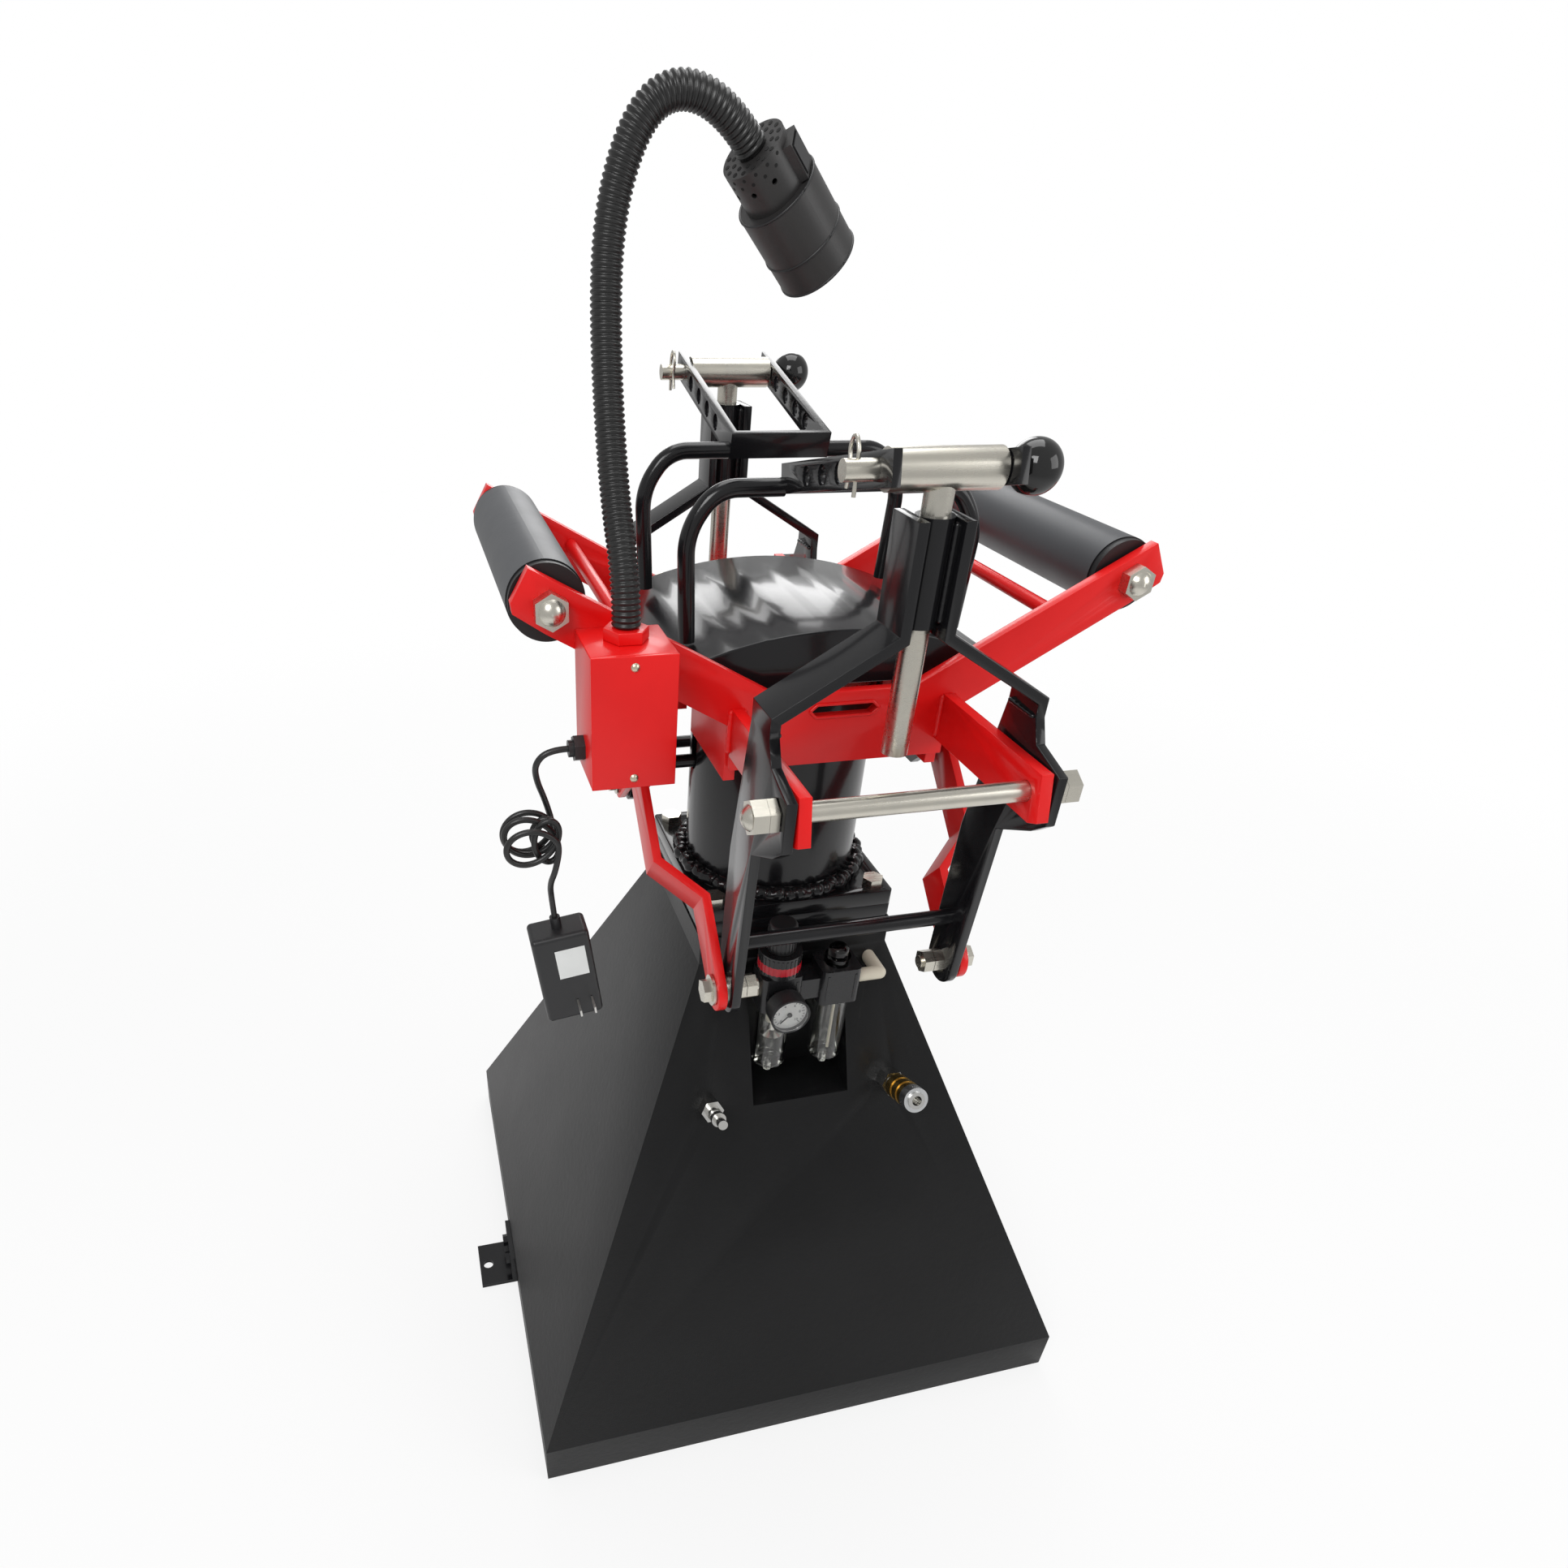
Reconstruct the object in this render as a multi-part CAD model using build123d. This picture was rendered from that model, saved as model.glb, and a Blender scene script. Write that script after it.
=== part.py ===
from build123d import *
import os
from math import cos, hypot, radians, sin, tan

os.makedirs("parts", exist_ok=True)

# Pneumatic tyre spreader. Millimetres, +X right, +Y back, +Z up.
# The origin is the middle of the square base, on the floor.

# Base cabinet
base_half = 305.0
skirt_height = 54.0
neck_half = 101.0
slope_top = 530.0
neck_top = 560.0
sheet = 3.0
window_left = 52.0
window_right = 54.0
window_low = 383.0
window_high = 522.0
pocket_back = -102.0

# Anchor lugs
lug_reach = 45.0
lug_width = 62.0
lug_y = -13.0
lug_thick = 6.0
lug_hole_inset = 11.0
lug_hole_radius = 6.5
lug_leg_height = 48.0
lug_bolt_pitch = 28.0
lug_bolt_z = 30.0

# Flange and air cylinder
flange_half = 100.0
flange_thick = 16.0
flange_bolt_place = 84.0
flange_bolt_radius = 6.0
column_radius = 87.5
column_wall = 6.0
column_top = 800.0
weld_leg = 10.0
cap_thick = 8.0
port_radius = 5.0

# Lift: piston, rod, saddle and the shaft that drives the links
stroke = 70.0
piston_low = 602.0
piston_thick = 24.0
rod_radius = 20.0
shaft_radius = 6.5
shaft_z = 705.0
slot_play = 2.0
yoke_inner = 140.0
yoke_thick = 8.0
stud_y = 40.0
stud_rise = 20.0
saddle_radius = 366.0
saddle_crown = 867.0
saddle_half_x = 154.0
saddle_half_y = 112.0
saddle_sheet = 4.0
saddle_skirt_low = 820.0
hub_half = 40.0
hub_low = 835.0

# V frame
v_inner = 130.0
v_thick = 10.0
v_half = 97.0
v_low = 762.0
v_high = 825.0
v_flat_half = 60.0
roller_x = 243.5
roller_z = 905.0
roller_radius = 30.0
roller_wall = 4.0
roller_half = 120.0
roller_cap = 7.0
axle_radius = 8.0
tie_x = 182.0
tie_z = 878.0
tie_radius = 6.0
ear_inner = 89.0
ear_thick = 10.0
ear_low = 776.0
ear_high = 817.0
ear_deep = 748.0
ear_tip = 304.0
ear_gap = 25.0

# Levers
pivot_y = -281.0
pivot_z = 797.0
pivot_radius = 8.0
lever_inner = 101.0
lever_thick = 8.0
bolt_y = -205.0
bolt_z = 582.0
bolt_radius = 6.0
lever_foot_radius = 22.0
bar_width = 40.0
bar_thick = 8.0
bar_seat_z = 843.0
sleeve_radius = 13.5
sleeve_low = 912.0
sleeve_high = 985.0
spreader_y = -203.0
spreader_z = 629.0
spreader_radius = 7.0

# Links from the yokes to the levers
link_width = 38.0
link_thick = 8.0
link_inner = 112.0
link_outer_inner = 150.0
link_joggle = 80.0
link_play = 2.75

# Posts, pins and hook brackets
post_y = -235.0
post_radius = 10.0
post_low = 815.0
tee_z = 1013.0
tee_radius = 13.5
tee_half = 40.0
pin_radius = 7.0
knob_radius = 18.0
bracket_inner = 41.0
bracket_sheet = 6.0
bracket_height = 22.0
bracket_tail = 24.0
bracket_reach = 172.0
bracket_slope = 13.0
bracket_pitch = 30.0
hook_radius = 7.0
hook_y = -75.0
hook_foot_z = 851.5

# Lamp, junction box and gooseneck
box_left = -226.0
box_right = -162.0
box_depth = 64.0
box_low = 788.0
box_high = 889.5
box_wall = 3.0
neck_x = -193.0
neck_y = -168.0
neck_radius = 10.75
lamp_radius = 28.5
lamp_cap_radius = 22.5
lamp_cap_length = 30.0
lamp_body_length = 58.0
screw_inset = 8.0
screw_radius = 4.0
switch_back = 17.0
switch_length = 24.0
switch_width = 18.0
switch_wall = 1.6
vent_radius = 1.8
gland_radius = 9.0
gland_length = 12.0

# Filter, regulator and lubricator
air_y = -134.0
filter_x = -29.0
lubricator_x = 33.0
air_body_width = 42.0
air_body_depth = 36.0
air_body_low = 497.0
air_body_high = 538.0
port_z = 516.0
bowl_radius = 17.0
bowl_low = 415.0
gauge_radius = 20.0
gauge_z = 511.0
gauge_front = -178.0
elbow_radius = 7.0
elbow_left_x = -70.0
elbow_right_x = 82.0
manifold_front = -93.0

# Air inlet and outlet on the sloping face
outlet_x = 100.0
outlet_z = 389.0
coupler_radius = 13.25
coupler_length = 69.0
coupler_bore = 5.2
nipple_length = 50.0
nipple_radius = 4.9

# Cord and adapter
cord_radius = 2.5
cord_y = -170.0
cord_z = 808.0
adapter_tilt = 8.0

# Clearances
running = 0.06
seat = 0.03

# Values worked out from the above
taper = (base_half - neck_half) / (slope_top - skirt_height)
slant = hypot(1.0, taper)
wall_inset = sheet * slant
flange_top = neck_top + 2 * flange_thick
bore_radius = column_radius - column_wall
cap_top = column_top + cap_thick
v_outer = v_inner + v_thick
ear_outer = ear_inner + ear_thick
lever_outer = lever_inner + lever_thick
link_rise = shaft_z + stud_rise - bolt_z
link_run = -stud_y - bolt_y
link_length = hypot(link_run, link_rise)
box_back = -v_outer
box_front = box_back - box_depth


def face_y(z):
    """Front surface of the cabinet's slope at a height."""
    return -(neck_half + (slope_top - z) * taper)


def block(x0, x1, y0, y1, z0, z1):
    """Box between two opposite corners."""
    return Pos((x0 + x1) / 2, (y0 + y1) / 2, (z0 + z1) / 2) * Box(x1 - x0, y1 - y0, z1 - z0)


def rod(start, end, radius, bore=0.0):
    """Round bar or tube between two points."""
    span = Vector(*end) - Vector(*start)
    section = Circle(radius)
    if bore:
        section = section - Circle(bore)
    return extrude(Plane(origin=start, z_dir=span) * section, amount=span.length)


def hexagon(start, direction, flats, height, bore=0.0):
    """Hexagonal head or nut standing on a point."""
    section = RegularPolygon(flats / 2, 6, major_radius=False)
    if bore:
        section = section - Circle(bore)
    return extrude(Plane(origin=start, z_dir=direction) * section, amount=height)


def acorn(start, direction, flats, height, bore, depth):
    """Domed nut with a blind bore."""
    plane = Plane(origin=start, z_dir=direction)
    dome = plane * Pos(0, 0, height) * Sphere(flats / 2 - 0.5, arc_size1=0)
    hole = plane * Pos(0, 0, depth / 2) * Cylinder(bore, depth)
    return hexagon(start, direction, flats, height) + dome - hole


def plate_xz(points, y0, y1):
    """Plate drawn in X and Z, between two depths."""
    plane = Plane(origin=(0, y1, 0), x_dir=(1, 0, 0), z_dir=(0, -1, 0))
    return extrude(plane * make_face(Polyline(*points, close=True)), amount=y1 - y0)


def plate_yz(points, x0, x1):
    """Plate drawn in Y and Z, between two places along X."""
    plane = Plane(origin=(x0, 0, 0), x_dir=(0, 1, 0), z_dir=(1, 0, 0))
    return extrude(plane * make_face(Polyline(*points, close=True)), amount=x1 - x0)


def group(*pieces):
    """Separate solids kept together in one node."""
    return Compound([solid for piece in pieces for solid in piece.solids()])


def both_sides(piece):
    """A piece and its left-right mirror image."""
    return group(piece, piece.mirror(Plane.YZ))


def rear(piece):
    """Mirror a front piece to the back."""
    return group(piece.mirror(Plane.XZ))


def bend_radii(points):
    """Largest arc that each corner's two runs allow."""
    corners = [Vector(*p) for p in points]
    radii = []
    for before, here, after in zip(corners, corners[1:], corners[2:]):
        arriving = here - before
        leaving = after - here
        half_turn = radians(arriving.get_angle(leaving)) / 2
        radii.append(0.45 * min(arriving.length, leaving.length) / tan(half_turn))
    return radii


def bent_tube(points, radius, name=""):
    """Round tube along straight runs joined by tangent arcs."""
    radii = bend_radii(points)
    path = FilletPolyline(*points, radius=radii)
    section = Plane(origin=path @ 0, z_dir=path % 0) * Circle(radius)
    if name:
        print(name, "radii", [round(r, 1) for r in radii], "length", round(path.length, 1))
    return sweep(section, path=path)


# Base ---------------------------------------------------------------------------------------

def cabinet_volume(inset, bottom, top):
    """Skirt, slope and neck of the cabinet as one solid, drawn in by an inset."""
    low_side = 2 * (base_half - inset)
    high_side = 2 * (neck_half - inset)
    skirt = Pos(0, 0, (bottom + skirt_height) / 2) * Box(low_side, low_side, skirt_height - bottom)
    slope = loft([
        Plane.XY.offset(skirt_height) * Rectangle(low_side, low_side),
        Plane.XY.offset(slope_top) * Rectangle(high_side, high_side),
    ])
    neck = Pos(0, 0, (slope_top + top) / 2) * Box(high_side, high_side, top - slope_top)
    return skirt + slope + neck


def outlet_plane(x):
    """Plane on the sloping face, looking outwards."""
    return Plane(origin=(x, face_y(outlet_z), outlet_z), x_dir=(1, 0, 0), z_dir=(0, -1, taper))


def base_cabinet():
    shell = cabinet_volume(0, 0, neck_top) - cabinet_volume(wall_inset, -10, neck_top + 10)
    window = block(-window_left, window_right, -base_half, pocket_back, window_low, window_high)
    shell = shell - window
    for x in (elbow_left_x, elbow_right_x):
        shell = shell - rod((x, air_y, port_z), (x, manifold_front, port_z), elbow_radius + seat)
    for x in (-outlet_x, outlet_x):
        shell = shell - outlet_plane(x) * Cylinder(elbow_radius + 1, 30)
    for side in (-1, 1):
        for y in (lug_y - lug_bolt_pitch / 2, lug_y + lug_bolt_pitch / 2):
            start = (side * (base_half - 10), y, lug_bolt_z)
            end = (side * (base_half + 10), y, lug_bolt_z)
            shell = shell - rod(start, end, 4 + seat)
    return shell


def regulator_pocket():
    """Folded sheet box behind the window, open to the front."""
    reach = block(-window_left - sheet, window_right + sheet, -base_half, pocket_back + sheet,
                  window_low - sheet, slope_top)
    hollow = block(-window_left, window_right, -base_half, pocket_back, window_low, slope_top)
    return (reach - hollow) & cabinet_volume(wall_inset, -10, neck_top)


def anchor_lug():
    outer = -base_half - lug_reach
    foot = block(outer, -base_half - lug_thick, lug_y - lug_width / 2, lug_y + lug_width / 2, 0, lug_thick)
    leg = block(-base_half - lug_thick, -base_half, lug_y - lug_width / 2, lug_y + lug_width / 2,
                0, lug_leg_height)
    lug = foot + leg
    hole_x = outer + lug_hole_inset
    lug = lug - rod((hole_x, lug_y, -1), (hole_x, lug_y, lug_thick + 1), lug_hole_radius)
    for y in (lug_y - lug_bolt_pitch / 2, lug_y + lug_bolt_pitch / 2):
        lug = lug - rod((-base_half - 20, y, lug_bolt_z), (-base_half + 1, y, lug_bolt_z), 4 + seat)
    return lug


def lug_bolt(y):
    start = -base_half - lug_thick
    head = hexagon((start, y, lug_bolt_z), (-1, 0, 0), 13, 5.5)
    shank = rod((start, y, lug_bolt_z), (-base_half + 16, y, lug_bolt_z), 4)
    nut = hexagon((-base_half + wall_inset, y, lug_bolt_z), (1, 0, 0), 13, 6.5, 4)
    return group(head + shank, nut)


def flange_plate(low):
    plate = block(-flange_half, flange_half, -flange_half, flange_half, low, low + flange_thick)
    plate = fillet(plate.edges().filter_by(Axis.Z), 4)
    for x in (-flange_bolt_place, flange_bolt_place):
        for y in (-flange_bolt_place, flange_bolt_place):
            plate = plate - rod((x, y, low - 1), (x, y, low + flange_thick + 1), flange_bolt_radius + seat)
    return plate - rod((0, 0, low - 1), (0, 0, low + flange_thick + 1), port_radius)


def flange_bolts():
    bolts = []
    for x in (-flange_bolt_place, flange_bolt_place):
        for y in (-flange_bolt_place, flange_bolt_place):
            shank = rod((x, y, neck_top - 12), (x, y, flange_top), flange_bolt_radius)
            head = hexagon((x, y, flange_top), (0, 0, 1), 19, 8)
            bolts.append(shank + head)
            bolts.append(hexagon((x, y, neck_top), (0, 0, -1), 19, 10, flange_bolt_radius))
    return group(*bolts)


# Air cylinder -------------------------------------------------------------------------------

def cylinder_tube():
    tube = rod((0, 0, flange_top), (0, 0, column_top), column_radius, bore_radius)
    half_slot = shaft_radius + slot_play
    low = shaft_z
    high = shaft_z + stroke
    slot = block(-column_radius - 1, column_radius + 1, -half_slot, half_slot, low, high)
    for z in (low, high):
        slot = slot + rod((-column_radius - 1, 0, z), (column_radius + 1, 0, z), half_slot)
    return tube - slot


def cylinder_weld():
    cone = Pos(0, 0, flange_top + weld_leg / 2) * Cone(column_radius + weld_leg, column_radius, weld_leg)
    return cone - rod((0, 0, flange_top - 1), (0, 0, flange_top + weld_leg + 1), column_radius)


def cylinder_cap():
    disc = rod((0, 0, column_top), (0, 0, cap_top), column_radius, rod_radius + running)
    collar = rod((0, 0, cap_top), (0, 0, cap_top + 4), rod_radius + 9, rod_radius + running)
    return disc + collar


def piston():
    body = rod((0, 0, piston_low), (0, 0, piston_low + piston_thick), bore_radius - running)
    middle = piston_low + piston_thick / 2
    groove = rod((0, 0, middle - 4), (0, 0, middle + 4), bore_radius + 1, bore_radius - 6)
    return body - groove


def piston_seal():
    middle = piston_low + piston_thick / 2
    return rod((0, 0, middle - 4), (0, 0, middle + 4), bore_radius - running, bore_radius - 6)


def piston_rod():
    bar = rod((0, 0, piston_low + piston_thick), (0, 0, hub_low), rod_radius)
    return bar - rod((-30, 0, shaft_z), (30, 0, shaft_z), shaft_radius + seat)


def saddle_disc(radius, y0, y1):
    centre = saddle_crown - saddle_radius
    return rod((0, y0, centre), (0, y1, centre), radius)


def saddle():
    curve = saddle_disc(saddle_radius, -saddle_half_y, saddle_half_y)
    under = saddle_radius - saddle_sheet
    curve = curve - saddle_disc(under, -saddle_half_y + saddle_sheet, saddle_half_y - saddle_sheet)
    limits = block(-saddle_half_x, saddle_half_x, -saddle_half_y, saddle_half_y,
                   saddle_skirt_low, saddle_crown + 1)
    return curve & limits


def saddle_hub():
    body = block(-hub_half, hub_half, -hub_half, hub_half, hub_low, saddle_crown)
    return body & saddle_disc(saddle_radius - saddle_sheet, -hub_half, hub_half)


def cross_shaft():
    end = yoke_inner + yoke_thick + 7
    return rod((-end, 0, shaft_z), (end, 0, shaft_z), shaft_radius)


def shaft_nut():
    return hexagon((yoke_inner + yoke_thick, 0, shaft_z), (1, 0, 0), 21, 7, shaft_radius)


def link_yoke():
    stud_z = shaft_z + stud_rise
    outline = [(-stud_y - 16, stud_z), (-stud_y - 6, stud_z + 15), (stud_y + 6, stud_z + 15),
               (stud_y + 16, stud_z), (18, shaft_z - 14), (-18, shaft_z - 14)]
    plate = plate_yz(outline, yoke_inner, yoke_inner + yoke_thick)
    return plate - rod((yoke_inner - 1, 0, shaft_z), (yoke_inner + 10, 0, shaft_z), shaft_radius + seat)


def link_stud(y):
    """Shouldered stud that a link turns on, with its head outside the link."""
    start = yoke_inner + yoke_thick
    outer = link_outer_inner + link_thick + 1
    z = shaft_z + stud_rise
    return rod((start, y, z), (outer, y, z), bolt_radius) + hexagon((outer, y, z), (1, 0, 0), 19, 7)


# V frame ------------------------------------------------------------------------------------

def v_plate():
    """Front plate of the V, with a slot in the middle and holes for the roller axles."""
    right = [(v_flat_half, v_high), (258, 934), (272, 909.5), (271, 902), (247, 886),
             (v_half, 800), (v_half, v_low)]
    left = [(-x, z) for x, z in reversed(right)]
    plate = plate_xz(right + left, -v_outer, -v_inner)
    slot = [(-31, 809.5), (-25, 815), (25, 815), (31, 809.5), (25, 804), (-25, 804)]
    plate = plate - plate_xz(slot, -v_outer - 1, -v_inner + 1)
    for x in (-roller_x, roller_x):
        plate = plate - rod((x, -v_outer - 1, roller_z), (x, -v_inner + 1, roller_z), axle_radius + seat)
    return plate


def ear_plate():
    """Right front ear and the web behind the V plate that runs to the cylinder."""
    ear = plate_yz([(-v_outer, ear_low), (-v_outer, ear_high), (-ear_tip + 8, ear_high),
                    (-ear_tip, ear_low + 5), (-ear_tip + 11, ear_low)], ear_inner, ear_outer)
    hole = rod((ear_inner - 1, pivot_y, pivot_z), (ear_outer + 1, pivot_y, pivot_z), pivot_radius + seat)
    web = block(ear_inner, ear_outer, -v_inner, -ear_gap, ear_deep, ear_high)
    pad = block(ear_inner - 9, ear_inner, -ear_gap - 20, -ear_gap, ear_deep + 8, column_top)
    pad = pad - rod((0, 0, ear_deep), (0, 0, column_top + 1), column_radius)
    return group(ear - hole, web + pad)


def pivot_rod():
    reach = lever_outer + 20
    return rod((-reach, pivot_y, pivot_z), (reach, pivot_y, pivot_z), pivot_radius)


def pivot_nut():
    start = lever_outer + 1
    thin = hexagon((start, pivot_y, pivot_z), (1, 0, 0), 24, 7, pivot_radius)
    domed = acorn((start + 7.2, pivot_y, pivot_z), (1, 0, 0), 24, 12, pivot_radius, 13)
    return group(thin, domed)


def roller_axle(x):
    return rod((x, -v_outer - 13, roller_z), (x, v_outer + 13, roller_z), axle_radius)


def roller_nut(x):
    return acorn((x, -v_outer, roller_z), (0, -1, 0), 24, 11, axle_radius, 13.5)


def roller(x):
    return rod((x, -roller_half, roller_z), (x, roller_half, roller_z), roller_radius,
               roller_radius - roller_wall)


def roller_end(x):
    """Rear end plug of a roller, with its rim outside the tube."""
    rim = rod((x, roller_half, roller_z), (x, roller_half + roller_cap, roller_z), roller_radius - 1)
    plug = rod((x, roller_half - 15, roller_z), (x, roller_half, roller_z), roller_radius - roller_wall)
    bore = rod((x, roller_half - 20, roller_z), (x, v_inner, roller_z), axle_radius + running)
    return rim + plug - bore


def tie_rod(x):
    return rod((x, -v_inner, tie_z), (x, v_inner, tie_z), tie_radius)


# Levers -------------------------------------------------------------------------------------

def lever_plate():
    """Right side plate of the front lever, from the pivot down to the link bolt."""
    foot = lever_foot_radius
    outline = [(post_y - bar_width / 2, bar_seat_z), (post_y + bar_width / 2, bar_seat_z),
               (-190, 720), (bolt_y + foot, bolt_z), (bolt_y - foot, bolt_z), (-240, 740),
               (-283, 762), (-300, 775), (-300, 815), (-264, 825)]
    plate = plate_yz(outline, lever_inner, lever_outer)
    plate = plate + rod((lever_inner, bolt_y, bolt_z), (lever_outer, bolt_y, bolt_z), foot)
    plate = plate - rod((lever_inner - 1, pivot_y, pivot_z), (lever_outer + 1, pivot_y, pivot_z),
                        pivot_radius + running)
    return plate - rod((lever_inner - 1, bolt_y, bolt_z), (lever_outer + 1, bolt_y, bolt_z),
                       bolt_radius + seat)


def lever_bar():
    """Right bent bar from the side plate in to the post sleeve."""
    near = sleeve_radius - 0.5
    far = near + bar_thick
    outline = [(near, sleeve_high), (far, sleeve_high), (far, 910), (lever_outer, 858),
               (lever_outer, bar_seat_z), (lever_inner, bar_seat_z), (lever_inner, 853), (near, 905)]
    bar = plate_xz(outline, post_y - bar_width / 2, post_y + bar_width / 2)
    return bar - rod((0, post_y, 890), (0, post_y, sleeve_high + 1), sleeve_radius)


def lever_sleeve():
    return rod((0, post_y, sleeve_low), (0, post_y, sleeve_high), sleeve_radius, post_radius + running)


def lever_spreader():
    return rod((-lever_inner, spreader_y, spreader_z), (lever_inner, spreader_y, spreader_z),
               spreader_radius)


def lever_bolt():
    """Right link bolt: head and washer outside, spacer, and two nuts inside the side plate."""
    washer_at = link_inner + link_thick + 0.5
    start = (lever_inner - 22, bolt_y, bolt_z)
    shank = rod(start, (washer_at + 2.5, bolt_y, bolt_z), bolt_radius)
    washer = rod((washer_at, bolt_y, bolt_z), (washer_at + 2.5, bolt_y, bolt_z), 14)
    head = hexagon((washer_at + 2.5, bolt_y, bolt_z), (1, 0, 0), 19, 7.5)
    spacer = rod((lever_outer, bolt_y, bolt_z), (link_inner - 0.5, bolt_y, bolt_z), 14, bolt_radius)
    inner_nut = hexagon((lever_inner, bolt_y, bolt_z), (-1, 0, 0), 19, 9.5, bolt_radius)
    lock_nut = hexagon((lever_inner - 10, bolt_y, bolt_z), (-1, 0, 0), 19, 9.5, bolt_radius)
    return group(shank + washer + head, spacer, inner_nut, lock_nut)


# Links --------------------------------------------------------------------------------------

def link():
    """Right front link: a flat bar with a joggle, a loose hole below and a close one above."""
    along = Vector(0, link_run, link_rise).normalized()
    across = Vector(0, along.Z, -along.Y)
    foot = Vector(0, bolt_y, bolt_z)
    half = link_width / 2
    step = link_outer_inner - link_inner
    low = link_inner
    high = link_inner + link_thick
    outline = [(-half, low), (-half, high), (link_joggle, high), (link_joggle + step, high + step),
               (link_length + half, high + step), (link_length + half, low + step),
               (link_joggle + step + 3, low + step), (link_joggle + 3, low)]
    edge = Plane(origin=foot - across * half, x_dir=along, z_dir=across)
    bar = extrude(edge * make_face(Polyline(*outline, close=True)), amount=link_width)
    flat = Plane(origin=foot + Vector(low - 5, 0, 0), x_dir=along, z_dir=(1, 0, 0))
    slot = Pos(link_length / 2, 0) * SlotCenterToCenter(link_length, link_width)
    bar = bar & extrude(flat * slot, amount=step + link_thick + 10)
    lower_hole = rod((low - 5, bolt_y, bolt_z), (high + 5, bolt_y, bolt_z), bolt_radius + link_play)
    stud_z = shaft_z + stud_rise
    upper_hole = rod((low + step - 5, -stud_y, stud_z), (high + step + 5, -stud_y, stud_z),
                     bolt_radius + running)
    return bar - lower_hole - upper_hole


# Posts, pins and hook brackets --------------------------------------------------------------

def post():
    tee = rod((-tee_half, post_y, tee_z), (tee_half, post_y, tee_z), tee_radius, pin_radius + running)
    bar = rod((0, post_y, post_low), (0, post_y, tee_z), post_radius)
    return tee + (bar - rod((-20, post_y, tee_z), (20, post_y, tee_z), tee_radius - 1))


def hook_pin():
    bar = rod((-70, post_y, tee_z), (50, post_y, tee_z), pin_radius)
    return bar - rod((-60, post_y, tee_z - 10), (-60, post_y, tee_z + 10), 1.5 + seat)


def ball_knob():
    centre = 50 + knob_radius - 2
    ball = Pos(centre, post_y, tee_z) * Sphere(knob_radius)
    return ball - rod((centre - 30, post_y, tee_z), (50, post_y, tee_z), pin_radius + 2)


def spring_clip():
    """R clip through the pin's end."""
    x = -60
    y = post_y
    z = tee_z
    route = [(x, y, z - 16), (x, y, z + 13), (x, y + 8, z + 21), (x, y + 15, z + 11),
             (x, y + 9.5, z), (x, y + 13, z - 13)]
    return bent_tube(route, 1.4)


def hook_bracket():
    """U bracket with a row of holes in each arm, sloping down towards the middle."""
    place = Pos(0, post_y, tee_z) * Rot(-bracket_slope, 0, 0)
    outer = bracket_inner + bracket_sheet
    half = bracket_height / 2
    body = block(-outer, outer, -bracket_tail, bracket_reach, -half, half)
    body = body - block(-bracket_inner, bracket_inner, -bracket_tail - 1,
                        bracket_reach - bracket_sheet, -half - 1, half + 1)
    for step in range(5):
        y = step * bracket_pitch
        body = body - rod((-outer - 1, y, 0), (outer + 1, y, 0), pin_radius + running)
    return place * body


def hook_rod():
    """Right front hook, from the bracket's arm out and down to its foot."""
    route = [(bracket_inner + bracket_sheet, hook_y, 970), (102, hook_y, 970),
             (125, hook_y, 938), (121, hook_y, hook_foot_z)]
    return bent_tube(route, hook_radius)


# Lamp and junction box ----------------------------------------------------------------------

def junction_box():
    cover = box_front + box_wall
    shell = block(box_left, box_right, cover, box_back, box_low, box_high)
    inside = block(box_left + box_wall, box_right - box_wall, cover - 1, box_back - box_wall,
                   box_low + box_wall, box_high - box_wall)
    return shell - inside


def box_cover():
    return block(box_left, box_right, box_front, box_front + box_wall, box_low, box_high)


def box_screws():
    """Domed screws at the middle of the cover's top and bottom."""
    screws = []
    middle = (box_left + box_right) / 2
    for z in (box_low + screw_inset, box_high - screw_inset):
        plane = Plane(origin=(middle, box_front, z), z_dir=(0, -1, 0))
        screws.append(plane * Sphere(screw_radius, arc_size1=0))
    return group(*screws)


def cable_gland():
    nut = hexagon((box_left, cord_y, cord_z), (-1, 0, 0), 2 * gland_radius, gland_length - 4)
    tip = rod((box_left - gland_length + 4, cord_y, cord_z), (box_left - gland_length, cord_y, cord_z),
              gland_radius - 2.5)
    return nut + tip


def neck_base():
    return hexagon((neck_x, neck_y, box_high), (0, 0, 1), 30, 9)


neck_route = [
    (neck_x, neck_y, box_high + 9.3), (neck_x, neck_y, 930), (-195, -133, 984), (-195, -105, 1075),
    (-190, -95, 1141), (-171, -92, 1190), (-145, -92, 1206), (-112, -91, 1195), (-93, -84, 1176),
]


def gooseneck():
    return bent_tube(neck_route, neck_radius, "gooseneck")


lamp_start = Vector(*neck_route[-1])
lamp_axis = (lamp_start - Vector(*neck_route[-2])).normalized()
lamp_side = Vector(-lamp_axis.Y, lamp_axis.X, 0).normalized()
lamp_plane = Plane(origin=lamp_start, x_dir=lamp_side * -1, z_dir=lamp_axis)
lamp_length = lamp_cap_length + lamp_body_length
switch_turn = -35.0


def lamp_tube(low, high, radius, bore=0.0):
    section = Circle(radius)
    if bore:
        section = section - Circle(bore)
    return extrude(lamp_plane.offset(low) * section, amount=high - low)


def switch_place():
    """Middle of the rocker switch on the lamp's rear cap, looking outwards."""
    return lamp_plane * Rot(0, 0, switch_turn) * Pos(lamp_cap_radius, 0, switch_back) * Rot(0, 90, 0)


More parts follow.
